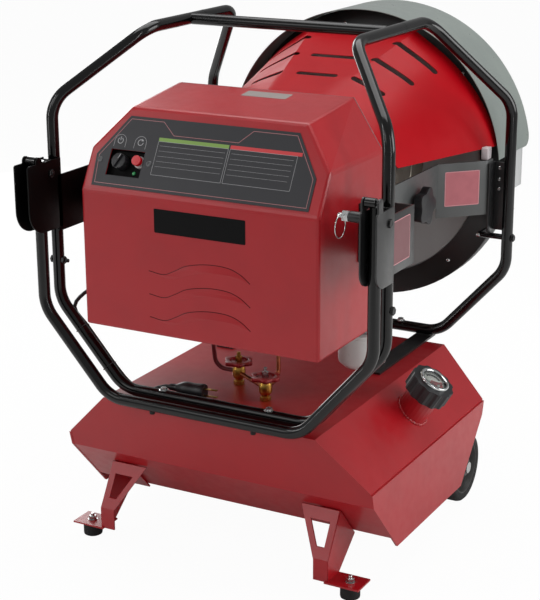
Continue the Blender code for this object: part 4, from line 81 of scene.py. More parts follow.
def at(x: float, y: float, z: float) -> Vector:
    """A place in metres from millimetres to the right, ahead of the tank's middle and up from the floor."""
    return Vector((x * MM, y * MM + TANK_MIDDLE * MM, z * MM))


def mm(x: float, y: float, z: float) -> Vector:
    """A step in metres from millimetres."""
    return Vector((x * MM, y * MM, z * MM))


def moved(x: float, y: float, z: float) -> Matrix:
    """A place that is moved by millimetres."""
    return Matrix.Translation(mm(x, y, z))


def polar(radius: float, turn: float) -> tuple[float, float]:
    """A point at a distance from the middle, the turn in degrees."""
    return radius * math.cos(turn * DEG), radius * math.sin(turn * DEG)


def linear(code: str) -> tuple[float, float, float, float]:
    """The linear red, green, blue and alpha of six hex digits of sRGB after a hash sign."""
    parts = [int(code[i:i + 2], 16) / 255 for i in (1, 3, 5)]
    return tuple(p / 12.92 if p <= 0.04045 else ((p + 0.055) / 1.055) ** 2.4 for p in parts) + (1.0,)


def add_node(tree: bpy.types.NodeTree, kind: str, sockets: Optional[dict] = None, **settings) -> bpy.types.Node:
    """Add one shader node.

    Args:
        tree: The tree that takes the node.
        kind: The node's type, such as ShaderNodeTexNoise.
        sockets: Input names or numbers, each with a value or with an output socket to link.
        settings: Properties of the node itself.

    Returns:
        The new node.
    """
    node = tree.nodes.new(kind)
    for name, value in settings.items():
        setattr(node, name, value)
    for name, value in (sockets or {}).items():
        if isinstance(value, bpy.types.NodeSocket):
            tree.links.new(value, node.inputs[name])
        else:
            node.inputs[name].default_value = value
    return node


def noise(tree: bpy.types.NodeTree, place: Socket, size: float, detail: float, roughness: float) -> Socket:
    """Noise whose patches have a size in millimetres."""
    return add_node(tree, "ShaderNodeTexNoise", {"Vector": place, "Scale": 1 / (size * MM), "Detail": detail,
                                                 "Roughness": roughness}).outputs["Fac"]


def ranged(tree: bpy.types.NodeTree, value: Socket, source: Spot, target: Spot) -> Socket:
    """A value moved from one span to another and held inside it."""
    return add_node(tree, "ShaderNodeMapRange", {"Value": value, "From Min": source[0], "From Max": source[1],
                                                 "To Min": target[0], "To Max": target[1]}).outputs[0]


def lit_by_camera(tree: bpy.types.NodeTree, share: float, room: Socket, white: Socket) -> Socket:
    """Mix a plain white into a surface or background for the camera's own rays.

    Args:
        tree: The tree of the floor or the world.
        share: How much of the white the camera sees.
        room: What every other ray meets.
        white: The plain white.

    Returns:
        The mixed shader.
    """
    seen = add_node(tree, "ShaderNodeLightPath").outputs["Is Camera Ray"]
    amount = add_node(tree, "ShaderNodeMath", {0: seen, 1: share}, operation="MULTIPLY").outputs[0]
    return add_node(tree, "ShaderNodeMixShader", {0: amount, 1: room, 2: white}).outputs[0]


# Finishes


@dataclass(frozen=True)
class Finish:
    """A surface finish: a base colour with slow cloudiness, fine grain in the gloss and relief, and dust.

    Args:
        name: The material's name.
        colour: Main colour, sRGB hex.
        cloud: Colour of the faint patches that handling and uneven film leave.
        roughness: Middle of the gloss, with gloss_spread either way.
        slot: The record's material slot.
        cloud_share: How strongly the patches show.
        cloud_mm: Size of the patches.
        grain_mm: Size of the relief grain, and grain_depth_mm its height.
        metallic: 1 for bare metal.
        coat: Clear layer on top, and coat_roughness its roughness.
        specular: Strength of the dielectric reflection.
        dust_share: How much dust shows on upward faces, and dust its colour.
    """

    name: str
    colour: str
    cloud: str
    roughness: float
    slot: str = "grey_plastic"
    cloud_share: float = 0.25
    cloud_mm: float = 90.0
    gloss_spread: float = 0.05
    grain_mm: float = 1.5
    grain_depth_mm: float = 0.02
    metallic: float = 0.0
    coat: float = 0.0
    coat_roughness: float = 0.1
    specular: float = 0.5
    dust_share: float = 0.0
    dust: str = "#9A918C"

    def material(self) -> bpy.types.Material:
        """The finish as a material, made once.

        Returns:
            The material with its colour, gloss and relief nodes.
        """
        found = bpy.data.materials.get(self.name)
        if found:
            return found
        made = bpy.data.materials.new(self.name)
        made.use_nodes = True
        made.diffuse_color = linear(self.colour)
        tree = made.node_tree
        shader = tree.nodes["Principled BSDF"]
        for name, value in (("Metallic", self.metallic), ("Coat Weight", self.coat),
                            ("Coat Roughness", self.coat_roughness), ("Specular IOR Level", self.specular)):
            shader.inputs[name].default_value = value
        place = add_node(tree, "ShaderNodeTexCoord").outputs["Object"]
        share = ranged(tree, noise(tree, place, self.cloud_mm, 3.0, 0.55), (0.42, 0.68), (0.0, self.cloud_share))
        colour = add_node(tree, "ShaderNodeMix", {0: share, 6: linear(self.colour), 7: linear(self.cloud)},
                          data_type="RGBA").outputs[2]
        if self.dust_share:
            up = add_node(tree, "ShaderNodeSeparateXYZ",
                          {0: add_node(tree, "ShaderNodeNewGeometry").outputs["Normal"]}).outputs["Z"]
            amount = add_node(tree, "ShaderNodeMath", {0: ranged(tree, up, (0.55, 1.0), (0.0, 1.0)),
                                                       1: noise(tree, place, 14, 5.0, 0.7)}, operation="MULTIPLY")
            amount = add_node(tree, "ShaderNodeMath", {0: amount.outputs[0], 1: self.dust_share},
                              operation="MULTIPLY")
            colour = add_node(tree, "ShaderNodeMix", {0: amount.outputs[0], 6: colour, 7: linear(self.dust)},
                              data_type="RGBA").outputs[2]
        tree.links.new(colour, shader.inputs["Base Color"])
        gloss = ranged(tree, noise(tree, place, 22, 4.0, 0.6), (0.3, 0.7),
                       (max(0.02, self.roughness - self.gloss_spread), self.roughness + self.gloss_spread))
        tree.links.new(gloss, shader.inputs["Roughness"])
        bump = add_node(tree, "ShaderNodeBump", {"Height": noise(tree, place, self.grain_mm, 2.0, 0.5),
                                                 "Distance": self.grain_depth_mm * MM, "Strength": 1.0})
        tree.links.new(bump.outputs["Normal"], shader.inputs["Normal"])
        return made


@dataclass(frozen=True)
class ClearFinish(Finish):
    """Clear moulded acrylic, with faint wipe marks in its gloss."""

    def material(self) -> bpy.types.Material:
        """The clear plastic as a material, made once.

        Returns:
            A transmitting material.
        """
        found = bpy.data.materials.get(self.name)
        if found:
            return found
        made = super().material()
        shader = made.node_tree.nodes["Principled BSDF"]
        shader.inputs["Transmission Weight"].default_value = 0.96
        shader.inputs["IOR"].default_value = 1.49
        return made


# Powder-coated steel, sprayed and baked: a deep even red under a soft skin of gloss with faint orange peel
RED_POWDER_COAT = Finish("red_powder_coat_on_steel", "#A4101A", "#8E0A14", 0.34, "red_paint", cloud_share=0.3,
                         grain_mm=3.0, grain_depth_mm=0.008, specular=0.55)
# Painted shade: a dark red for the thin line along the crease of each pressed wave, where the light doesn't reach
CREASE_SHADE = Finish("red_powder_coat_in_creases", "#4A070C", "#3A0509", 0.5, "red_paint", grain_mm=1.2,
                     grain_depth_mm=0.006, specular=0.2)
# The same powder coat on the small pressings of the legs and valve handwheels, thicker in their corners
RED_PRESSING_COAT = Finish("red_powder_coat_on_pressings", "#A20A16", "#7C0710", 0.33, "red_paint", grain_mm=1.6,
                           coat=0.25, coat_roughness=0.2)
# Black enamel on bent steel tube: near black with long sharp highlights
BLACK_TUBE_ENAMEL = Finish("black_enamel_on_tube", "#050506", "#0A0A0B", 0.15, "black_paint", gloss_spread=0.03,
                           grain_mm=3.0, grain_depth_mm=0.006, specular=0.45)
# Semi-gloss black enamel on folded sheet: turns grey where it leans to the light
BLACK_SHEET_ENAMEL = Finish("black_enamel_on_sheet", "#1A1A1B", "#252526", 0.34, "grey_paint", grain_mm=1.8,
                            grain_depth_mm=0.015, coat=0.2, coat_roughness=0.2)
# The same black enamel made darker and duller for the left bracket as painted shade, and heat-proof black on the rim,
# which stays near black
SHADED_SHEET_ENAMEL = Finish("black_enamel_on_left_bracket", "#030303", "#060606", 0.45, "grey_paint", grain_mm=1.8,
                             grain_depth_mm=0.012, specular=0.12)
RIM_ENAMEL = Finish("heatproof_black_on_rim", "#060606", "#0C0C0C", 0.42, "black_paint", grain_mm=1.4,
                    grain_depth_mm=0.015)
# Grey enamel on the folded side plates
PLATE_ENAMEL = Finish("grey_enamel_on_side_plates", "#4C4E4E", "#434545", 0.4, "grey_paint", grain_mm=1.6,
                      grain_depth_mm=0.012, coat=0.15, coat_roughness=0.25)
# Heat-resistant red enamel on the cover: deeper and less hazy than the powder coat
COVER_COAT = Finish("red_enamel_on_cover", "#A80412", "#98030E", 0.34, "red_paint", cloud_share=0.35, grain_mm=2.6,
                    grain_depth_mm=0.008, specular=0.14)
# Heat-proof silicone paint on the reflector's back: flat grey with a faint cloudiness
HEATPROOF_GREY = Finish("heatproof_grey_on_steel", "#959696", "#868787", 0.45, "grey_paint", grain_mm=1.2,
                        grain_depth_mm=0.012)
# Hammered grey-green enamel on the hood, paler on its tabs
HOOD_ENAMEL = Finish("grey_green_enamel_on_hood", "#7A827E", "#878F89", 0.32, "hood_paint", cloud_share=0.4,
                     grain_mm=4.0, grain_depth_mm=0.03, coat=0.3, coat_roughness=0.2)
HOOD_TAB_ENAMEL = Finish("pale_grey_enamel_on_hood_tab", "#B6B8B8", "#A9ABAB", 0.35, "hood_paint", grain_mm=2.0,
                         grain_depth_mm=0.012, coat=0.2, coat_roughness=0.2)
# Bright zinc plating on bolts, rings and studs: cool silver with a soft blur
ZINC_PLATE = Finish("zinc_plated_steel", "#C9CBCB", "#A9ABA8", 0.24, "zinc_steel", metallic=1.0, cloud_mm=9.0,
                    grain_mm=0.8, grain_depth_mm=0.006)
# Black oxide on the frame's bolts, and the panel's screw heads in a lighter grey all over
BLACK_OXIDE = Finish("black_oxide_bolts", "#141415", "#1F1F20", 0.36, "zinc_steel", grain_mm=0.8,
                     grain_depth_mm=0.008)
SCREW_HEAD = Finish("light_grey_screw_heads", "#4A4A4C", "#38383A", 0.35, "zinc_steel", cloud_mm=4.0, grain_mm=0.8,
                    grain_depth_mm=0.008)
# Stainless steel that has been hot: straw and grey tones
HEATED_STEEL = Finish("heated_stainless_steel", "#B9B2A6", "#8E7F6C", 0.34, "heat_steel", metallic=1.0,
                      cloud_share=0.6, cloud_mm=60.0, grain_mm=0.7, grain_depth_mm=0.006)
# Chromed plastic ring round the tank gauge
CHROME_TRIM = Finish("chrome_plated_ring", "#D6D8D8", "#B8BABA", 0.10, "chrome_trim", metallic=1.0, cloud_mm=12.0,
                     grain_mm=2.0, grain_depth_mm=0.003)
# Machined brass, a little tarnished
BRASS = Finish("machined_brass", "#C79A4B", "#8F6630", 0.30, "brass_fittings", metallic=1.0, cloud_share=0.6,
               cloud_mm=10.0, grain_mm=0.6, grain_depth_mm=0.01)
# Copper pipe, drawn and browned by handling
COPPER = Finish("drawn_copper_pipe", "#B5694A", "#6F3B29", 0.33, "brass_fittings", metallic=1.0, cloud_share=0.7,
                cloud_mm=12.0, grain_mm=0.6, grain_depth_mm=0.008)
# Dark red nitrile hose over the pipe
RED_HOSE = Finish("dark_red_hose", "#6E1A20", "#55101A", 0.42, "brass_fittings", grain_mm=1.0, grain_depth_mm=0.03)
# Moulded rubber of the feet and tyres
FOOT_RUBBER = Finish("moulded_rubber", "#161616", "#222221", 0.68, "foot_rubber", grain_mm=0.9, grain_depth_mm=0.04,
                     specular=0.35)
WHEEL_RUBBER = Finish("rubber_tyre", "#1B1A1A", "#2D2B2A", 0.72, "wheel_rubber", grain_mm=1.2, grain_depth_mm=0.05,
                      specular=0.35, dust_share=0.15)
# Moulded ABS of knobs, cap, plug, tray and wheel bodies: spark-eroded grain kills the gloss
BLACK_ABS = Finish("moulded_black_abs", "#17171A", "#202024", 0.42, "black_plastic", grain_mm=0.7,
                   grain_depth_mm=0.03)
TRAY_ABS = Finish("matt_black_abs_tray", "#030303", "#070707", 0.6, grain_mm=0.7, specular=0.1)
WHEEL_PLASTIC = Finish("moulded_grey_wheel", "#3B3A39", "#2C2B2A", 0.45, "wheel_rubber", grain_mm=0.9,
                       grain_depth_mm=0.03)
# Glossy and pale mouldings of the reset button and its collar
RED_BUTTON_PLASTIC = Finish("glossy_red_button", "#C2101E", "#A50C18", 0.22, grain_mm=3.0, grain_depth_mm=0.005,
                            coat=0.4, coat_roughness=0.08)
PALE_COLLAR = Finish("pale_plastic_collar", "#C9C3C2", "#B5AFAE", 0.35, grain_mm=1.0, grain_depth_mm=0.01)
# Screen-printed polycarbonate overlay, smooth dark grey film, and the inks on it
OVERLAY_FILM = Finish("printed_overlay_film", "#333336", "#2D2D30", 0.4, cloud_share=0.3, grain_mm=0.9,
                      grain_depth_mm=0.006, specular=0.3)
PRINT_RED, PRINT_GREEN, PRINT_GREY, PRINT_PINK = [
    Finish(name, colour, cloud, 0.4, grain_mm=1.0, grain_depth_mm=0.004) for name, colour, cloud in (
        ("print_red", "#C8383C", "#B93035"), ("print_green", "#7DA04A", "#719244"),
        ("print_light_grey", "#A3A3A5", "#98989A"), ("print_pink_line", "#B07476", "#A86A6D"))]
# Printed vinyl labels that are left blank, and the gauge's card
LABEL_BORDER = Finish("label_border", "#C98A90", "#BC7E85", 0.45, grain_mm=1.0, grain_depth_mm=0.004)
BLACK_LABEL = Finish("blank_black_label", "#060607", "#0B0B0C", 0.42, grain_mm=1.2, grain_depth_mm=0.004,
                     specular=0.12)
LABEL_ROSE = Finish("blank_rose_label", "#B4646C", "#A65A62", 0.45, cloud_share=0.5, cloud_mm=20.0, grain_mm=1.0,
                    grain_depth_mm=0.006)
DARK_ROSE_LABEL = Finish("blank_dark_rose_label", "#74474B", "#683E42", 0.45, grain_mm=1.0, grain_depth_mm=0.006)
GREY_LABEL = Finish("blank_grey_label", "#8E8480", "#837A76", 0.45, grain_mm=1.0, grain_depth_mm=0.006)
DIAL_PAPER = Finish("dial_card", "#E6E4DD", "#DAD7CE", 0.5, grain_mm=0.8, grain_depth_mm=0.004)
# Enamelled filter canister, and the cover's end tabs in a pale pinkish white, though their slot is the red paint
WHITE_ENAMEL = Finish("white_enamel", "#C9CBC9", "#B7B8B5", 0.3, "white_paint", grain_mm=2.0, grain_depth_mm=0.01,
                      coat=0.3, coat_roughness=0.15)
PALE_TAB = Finish("pale_pink_cover_tab", "#D8CDD0", "#CDBFC3", 0.3, "red_paint", grain_mm=2.0, grain_depth_mm=0.01,
                  coat=0.3, coat_roughness=0.15)
# Round PVC sheath of the mains lead
CORD_SHEATH = Finish("pvc_cord_sheath", "#121214", "#1D1D1F", 0.42, "cord_jacket", grain_mm=1.4)
# Moulded lenses of the two lamps, and the board behind them
GREEN_LED, RED_LED = [
    Finish(name, colour, cloud, 0.15, grain_mm=2.0, grain_depth_mm=0.003, coat=0.6, coat_roughness=0.05)
    for name, colour, cloud in (("green_lamp_lens", "#1FA456", "#2BB868"), ("red_lamp_lens", "#8E2026", "#A2282E"))]
BOARD_GREEN = Finish("circuit_board", "#1E5A38", "#184A2E", 0.4, grain_mm=1.0, grain_depth_mm=0.01)
# Die-cast zinc of the pump and the filter's head: dull silver with a sandy grain
PUMP_CASTING = Finish("die_cast_zinc", "#8F9294", "#7B7E80", 0.4, "zinc_steel", metallic=0.9, grain_mm=1.0,
                      grain_depth_mm=0.03)
CLEAR_ACRYLIC = ClearFinish("clear_acrylic_window", "#F2F5F4", "#E6EAE8", 0.06, "clear_lens", gloss_spread=0.02,
                            grain_mm=6.0, grain_depth_mm=0.002)


# Modelling bench


class Bench:
    """Blender's own modelling tools, used one after another as by hand, their sizes in millimetres."""

    @staticmethod
    def put_down() -> None:
        """Leave edit mode with nothing selected."""
        if bpy.context.object and bpy.context.object.mode != "OBJECT":
            bpy.ops.object.mode_set(mode="OBJECT")
        bpy.ops.object.select_all(action="DESELECT")

    @staticmethod
    def take(piece: Piece) -> Piece:
        """Select one piece alone and make it the active one.

        Args:
            piece: The piece.

        Returns:
            The piece.
        """
        Bench.put_down()
        bpy.context.view_layer.objects.active = piece
        piece.select_set(True)
        return piece

    @staticmethod
    def named(name: str) -> Piece:
        """Name the active piece and its mesh.

        Args:
            name: The name.

        Returns:
            The piece.
        """
        piece = bpy.context.object
        piece.name = piece.data.name = name
        return piece

    @staticmethod
    def settle(piece: Piece, place: Optional[Matrix] = None) -> Piece:
        """Move a piece to its place and write that into its mesh.

        Args:
            piece: The piece, wherever it was made.
            place: Where its own origin and axes go.

        Returns:
            The piece, with its object at the origin, unturned and unscaled.
        """
        Bench.take(piece)
        if place is not None:
            piece.matrix_world = place @ piece.matrix_world
        bpy.ops.object.transform_apply(location=True, rotation=True, scale=True)
        return piece

    @staticmethod
    def axis(foot: Vector, along: Vector, turn: float = 0.0) -> Matrix:
        """A place at a foot whose +Z runs along a direction, turned about it by radians."""
        swing = UP.rotation_difference(Vector(along).normalized()).to_matrix().to_4x4()
        return Matrix.Translation(foot) @ swing @ Matrix.Rotation(turn, 4, "Z")

    @staticmethod
    def bevel(piece: Piece, width: float, segments: int = 2, angle: float = 32) -> Piece:
        """Round the sharp edges of a piece.

        Args:
            piece: The piece.
            width: Width of the rounding.
            segments: Its steps.
            angle: Edges sharper than this many degrees are rounded.

        Returns:
            The piece.
        """
        Bench.take(piece)
        rounding = piece.modifiers.new("rounding", "BEVEL")
        rounding.width, rounding.segments = width * MM, segments
        rounding.limit_method, rounding.angle_limit = "ANGLE", angle * DEG
        bpy.ops.object.modifier_apply(modifier=rounding.name)
        return piece

    @staticmethod
    def smooth(piece: Piece, angle: float = 35) -> Piece:
        """Shade a piece smooth.

        Args:
            piece: The piece.
            angle: Edges sharper than this many degrees stay sharp.

        Returns:
            The piece.
        """
        Bench.take(piece)
        bpy.ops.object.shade_smooth_by_angle(angle=angle * DEG)
        return piece

    @staticmethod
    def close(piece: Piece) -> Piece:
        """Merge a piece's doubles and turn its faces outwards.

        Args:
            piece: The piece.

        Returns:
            The piece.
        """
        Bench.take(piece)
        bpy.ops.object.mode_set(mode="EDIT")
        bpy.ops.mesh.select_all(action="SELECT")
        bpy.ops.mesh.remove_doubles(threshold=1e-6)
        bpy.ops.mesh.normals_make_consistent(inside=False)
        bpy.ops.object.mode_set(mode="OBJECT")
        return piece

    @staticmethod
    def rod(name: str, foot: Vector, tip: Vector, radius: float, sides: int = 24, rounding: float = 0.0) -> Piece:
        """A straight round or many-sided bar.

        Args:
            name: Name of the piece.
            foot: Middle of its first end.
            tip: Middle of its other end.
            radius: Radius at its corners.
            sides: Number of its sides.
            rounding: Width of the rounding on its ends.

        Returns:
            The bar.
        """
        Bench.put_down()
        run = tip - foot
        bpy.ops.mesh.primitive_cylinder_add(vertices=sides, radius=radius * MM, depth=run.length)
        piece = Bench.settle(Bench.named(name), Bench.axis((foot + tip) / 2, run))
        if rounding:
            Bench.bevel(piece, rounding, 2, 50)
        return Bench.smooth(piece)

    @staticmethod
    def box(name: str, low: Vector, high: Vector, rounding: float = 0.0, segments: int = 2) -> Piece:
        """A block between two corners, its edges rounded.

        Args:
            name: Name of the piece.
            low: Its lowest corner.
            high: Its highest corner.
            rounding: Width of the rounding.
            segments: Steps of the rounding.

        Returns:
            The block.
        """
        Bench.put_down()
        bpy.ops.mesh.primitive_cube_add(size=1, location=(low + high) / 2)
        piece = Bench.named(name)
        piece.scale = [abs(b - a) for a, b in zip(low, high)]
        Bench.settle(piece)
        if rounding:
            Bench.bevel(piece, rounding, segments)
        return Bench.smooth(piece)

    @staticmethod
    def turned(name: str, profile: Outline, place: Matrix, steps: int = 32, ring: bool = False,
               angle: float = 35) -> Piece:
        """A turned shape: a circle that is extruded and resized from step to step.

        Args:
            name: Name of the piece.
            profile: Radius and height of each step, in order round the section.
            place: Where the origin and the turning axis, its Z, go.
            steps: Facets round the axis.
            ring: True where the section closes on itself round a hole.
            angle: Edges sharper than this many degrees stay sharp.

        Returns:
            The turned piece.
        """
        Bench.put_down()
        path = [(r * MM, h * MM) for r, h in profile]
        radius, height = path[0]
        bpy.ops.mesh.primitive_circle_add(vertices=steps, radius=radius, location=(0, 0, 0),
                                          fill_type="NOTHING" if ring else "NGON")
        piece = Bench.named(name)
        bpy.ops.object.mode_set(mode="EDIT")
        bpy.ops.mesh.select_all(action="SELECT")
        bpy.ops.transform.translate(value=(0, 0, height))
        for next_radius, next_height in path[1:] + path[:ring]:
            bpy.ops.mesh.extrude_region_move(TRANSFORM_OT_translate={"value": (0, 0, next_height - height)})
            share = next_radius / radius
            bpy.ops.transform.resize(value=(share, share, 1), center_override=(0, 0, next_height))
            radius, height = next_radius, next_height
        bpy.ops.object.mode_set(mode="OBJECT")
        return Bench.smooth(Bench.settle(Bench.close(piece), place), angle)

    @staticmethod
    def curve(name: str, loops: Sequence[Sequence[Spot]], closed: bool = False, **settings) -> Piece:
        """A curve that runs in straight steps.

        Args:
            name: Name of the piece.
            loops: The points of each of its lines, in metres.
            closed: True where the lines come back to their starts.
            settings: Properties of the curve, such as the radius of its section.

        Returns:
            The curve, as an object of the scene.
        """
        Bench.put_down()
        curve = bpy.data.curves.new(name, "CURVE")
        for key, value in settings.items():
            setattr(curve, key, value)
        for loop in loops:
            line = curve.splines.new("POLY")
            line.points.add(len(loop) - 1)
            for spot, point in zip(line.points, loop):
                spot.co = (*point, 1)
            line.use_cyclic_u, line.use_smooth = closed, True
        piece = bpy.data.objects.new(name, curve)
        bpy.context.scene.collection.objects.link(piece)
        return piece

    @staticmethod
    def meshed(curve: Piece) -> Piece:
        """Turn a curve into a mesh.

        Args:
            curve: The curve.

        Returns:
            The mesh under the same name, its faces outwards.
        """
        name = curve.name
        Bench.take(curve)
        bpy.ops.object.convert(target="MESH")
        return Bench.close(Bench.named(name))

    @staticmethod
    def tube(name: str, route: Sequence[Vector], radius: float, resolution: int = 5, closed: bool = False) -> Piece:
        """A bent round tube or wire along a route, with closed ends.

        Args:
            name: Name of the piece.
            route: Points along its middle.
            radius: Its radius.
            resolution: Fineness of its section.
            closed: True where the route comes back to its start.

        Returns:
            The tube as a mesh.
        """
        curve = Bench.curve(name, [route], closed, dimensions="3D", bevel_depth=radius * MM,
                            bevel_resolution=resolution, use_fill_caps=not closed)
        return Bench.smooth(Bench.meshed(curve), 50)

    @staticmethod
    def flat(name: str, outline: Outline, thick: float, place: Matrix, rounding: float = 0.0,
             holes: Iterable[Outline] = ()) -> Piece:
        """A flat plate cut to an outline, its lower face on the place's XY plane.

        Args:
            name: Name of the piece.
            outline: Corners in the place's XY plane.
            thick: Its thickness, along the place's Z.
            place: Where the plate goes.
            rounding: Width of the rounding on its edges.
            holes: Outlines that are left open.

        Returns:
            The plate.
        """
        loops = [[(x * MM, y * MM, 0) for x, y in loop] for loop in (outline, *holes)]
        piece = Bench.meshed(Bench.curve(name, loops, True, dimensions="2D", fill_mode="BOTH", extrude=thick * MM / 2))
        Bench.settle(piece, place @ moved(0, 0, thick / 2))
        if rounding:
            Bench.bevel(piece, rounding, 2, 40)
        return Bench.smooth(piece, 30)

    @staticmethod
    def cut(piece: Piece, cutter: Piece) -> None:
        """Take a cutter's shape out of a piece and throw the cutter away.

        Args:
            piece: The piece that is cut.
            cutter: The closed shape to take out.
        """
        Bench.take(piece)
        taken = piece.modifiers.new("cut", "BOOLEAN")
        taken.operation, taken.solver, taken.object = "DIFFERENCE", "EXACT", cutter
        bpy.ops.object.modifier_apply(modifier=taken.name)
        Bench.take(cutter)
        bpy.ops.object.delete()

    @staticmethod
    def join(name: str, pieces: Sequence[Piece]) -> Piece:
        """Join several shapes into one piece.

        Args:
            name: Name of the piece.
            pieces: The shapes.

        Returns:
            The piece.
        """
        Bench.take(pieces[0])
        for piece in pieces:
            piece.select_set(True)
        bpy.ops.object.join()
        return Bench.named(name)

    @staticmethod
    def hex_bolt(name: str, seat: Vector, along: Vector, radius: float, head: float, washer: float = 0.0) -> Piece:
        """A bolt's head with its chamfer, on its washer where it has one.

        Args:
            name: Name of the piece.
            seat: Middle of the face it is tightened on.
            along: The way the head points.
            radius: Radius at the head's corners.
            head: Height of the head.
            washer: Thickness of the washer, or zero.

        Returns:
            The bolt's head, sunk a little into what carries it.
        """
        sink, top = 0.4, washer + head
        profile = [(radius, washer - sink), (radius, washer + head * 0.82), (radius * 0.86, top),
                   (radius * 0.52, top), (radius * 0.46, washer + head * 0.9)]
        nut = Bench.turned(name, profile, Bench.axis(seat, along, HEX_TURN), 6, angle=20)
        if not washer:
            return nut
        rim = [(radius * 1.3, -sink), (radius * 1.3, washer * 0.8), (radius * 1.22, washer)]
        return Bench.join(name, [nut, Bench.turned(name + "_washer", rim, Bench.axis(seat, along), 24)])


def rounded_route(corners: Sequence[Vector], radius: float, steps: int) -> list[Vector]:
    """Points along straight runs whose corners are rounded to arcs.

    Args:
        corners: The corners in order, ends included.
        radius: Bend radius at the tube's middle, in millimetres.
        steps: Steps in each bend.

    Returns:
        The points of the route.
    """
    route = [corners[0]]
    for before, corner, after in zip(corners, corners[1:], corners[2:]):
        to_before, to_after = (before - corner).normalized(), (after - corner).normalized()
        half = to_before.angle(to_after) / 2
        reach = radius * MM / math.tan(half)
        centre = corner + (to_before + to_after).normalized() * (radius * MM / math.sin(half))
        first, last = corner + to_before * reach - centre, corner + to_after * reach - centre
        hinge = first.cross(last).normalized()
        turn = first.angle(last)
        route += [centre + Matrix.Rotation(turn * i / steps, 3, hinge) @ first for i in range(steps + 1)]
    return route + [corners[-1]]


def arc(radius: float, start: float, end: float, count: int, middle: Spot = (0, 0)) -> list[tuple[float, float]]:
    """Points on an arc.

    Args:
        radius: Its radius.
        start: Where it starts, in degrees.
        end: Where it ends, in degrees.
        count: Number of its steps.
        middle: Its middle.

    Returns:
        The points, both ends included.
    """
    spots = [polar(radius, start + (end - start) * i / count) for i in range(count + 1)]
    return [(middle[0] + x, middle[1] + y) for x, y in spots]


def band(outer: float, inner: float, start: float, end: float, count: int, middle: Spot = (0, 0)) -> Outline:
    """The outline of a curved strip between two arcs of the same sweep."""
    return arc(outer, start, end, count, middle) + arc(inner, start, end, count, middle)[::-1]


def lobed(radius: float, dip: float, lobes: int, count: int) -> list[tuple[float, float]]:
    """A round outline with lobes.

    Args:
        radius: Radius at the lobes.
        dip: Half of the hollows' depth, as a share of the radius.
        lobes: Number of lobes.
        count: Number of points.

    Returns:
        The points of the outline.
    """
    turns = [360 / count * i for i in range(count)]
    return [polar(radius * (1 - dip * (1 - math.cos(turn * DEG * lobes))), turn) for turn in turns]


def rounded_outline(low: Spot, high: Spot, radius: float, steps: int = 4) -> list[tuple[float, float]]:
    """The outline of a rectangle with rounded corners.

    Args:
        low: Its lower left corner.
        high: Its upper right corner.
        radius: Radius of its corners.
        steps: Steps in each corner.

    Returns:
        The corners of the outline in order.
    """
    left, right, foot, top = low[0] + radius, high[0] - radius, low[1] + radius, high[1] - radius
    corners = (right, top, 0), (left, top, 90), (left, foot, 180), (right, foot, 270)
    return [spot for x, y, start in corners for spot in arc(radius, start, start + 90, steps, (x, y))]


def smooth_line(points: Sequence[Vector], steps: int) -> list[Vector]:
    """Points on a smooth curve through the given ones.

    Args:
        points: Where the curve passes, ends included.
        steps: Steps between two of them.

    Returns:
        The points of the curve.
    """
    padded = [points[0] * 2 - points[1], *points, points[-1] * 2 - points[-2]]
    line = []
    for p0, p1, p2, p3 in zip(padded, padded[1:], padded[2:], padded[3:]):
        for step in range(steps):
            t = step / steps
            line.append((p1 * 2 + (p2 - p0) * t + (p0 * 2 - p1 * 5 + p2 * 4 - p3) * t ** 2
                         + (p1 * 3 - p0 - p2 * 3 + p3) * t ** 3) / 2)
    return line + [points[-1]]


def inset(outline: Outline, by: float) -> list[tuple[float, float]]:
    """Move the sides of an outline inwards.

    Args:
        outline: Its corners, anticlockwise.
        by: How far each side moves.

    Returns:
        The smaller outline's corners.
    """
    spots = [Vector(p) for p in outline]
    inner = []
    for before, here, after in zip(spots[-1:] + spots[:-1], spots, spots[1:] + spots[:1]):
        first, second = (here - before).normalized(), (after - here).normalized()
        inward = Vector((-first.y - second.y, first.x + second.x)).normalized()
        inner.append(tuple(here + inward * by / inward.dot(Vector((-first.y, first.x)))))
    return inner


def sideways(x: float) -> Matrix:
    """A place whose flat plane holds Y and Z and whose thickness runs along X from a number of millimetres."""
    return moved(x, 0, 0) @ Matrix(((0, 0, 1, 0), (1, 0, 0, 0), (0, 1, 0, 0), (0, 0, 0, 1)))


def from_side(name: str, outline: Outline, thick: float, x: float, rounding: float = 0.0) -> Piece:
    """A flat plate drawn along Y and Z, its thickness along X from a number of millimetres."""
    drawn = [(y + TANK_MIDDLE, z) for y, z in outline]
    return Bench.flat(name, drawn, thick, sideways(x), rounding)


def facing_front(y: float) -> Matrix:
    """A place whose flat plane holds X and Z and whose thickness runs along -Y from a number of millimetres."""
    return Matrix.Translation(at(0, y, 0)) @ Matrix(((1, 0, 0, 0), (0, 0, -1, 0), (0, 1, 0, 0), (0, 0, 0, 1)))


def upright_strip(foot: Vector, run: Vector) -> Matrix:
    """A place at a foot whose first direction is a level run and whose second is up."""
    ahead = run.normalized()
    return Matrix.Translation(foot) @ Matrix((ahead, UP, ahead.cross(UP))).transposed().to_4x4()


def dress(piece: Piece, finish: Finish, *replaces: str, body: str = "heater", slot: str = "") -> Piece:
    """Give a finished piece its material, body and the nodes it stands for.

    Args:
        piece: The piece, in place.
        finish: Its finish.
        replaces: Nodes that it stands for.
        body: The body it moves with.
        slot: The record's material slot, where it isn't the finish's usual one. It is not used.

    Returns:
        The piece.
    """
    piece.data.materials.clear()
    piece.data.materials.append(finish.material())
    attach(piece, body)
    slot = slot or finish.slot
    if replaces:
        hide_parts(*replaces)
    LOG.info("piece %s: %s, rides on %s", piece.name, finish.name, body)
    return piece


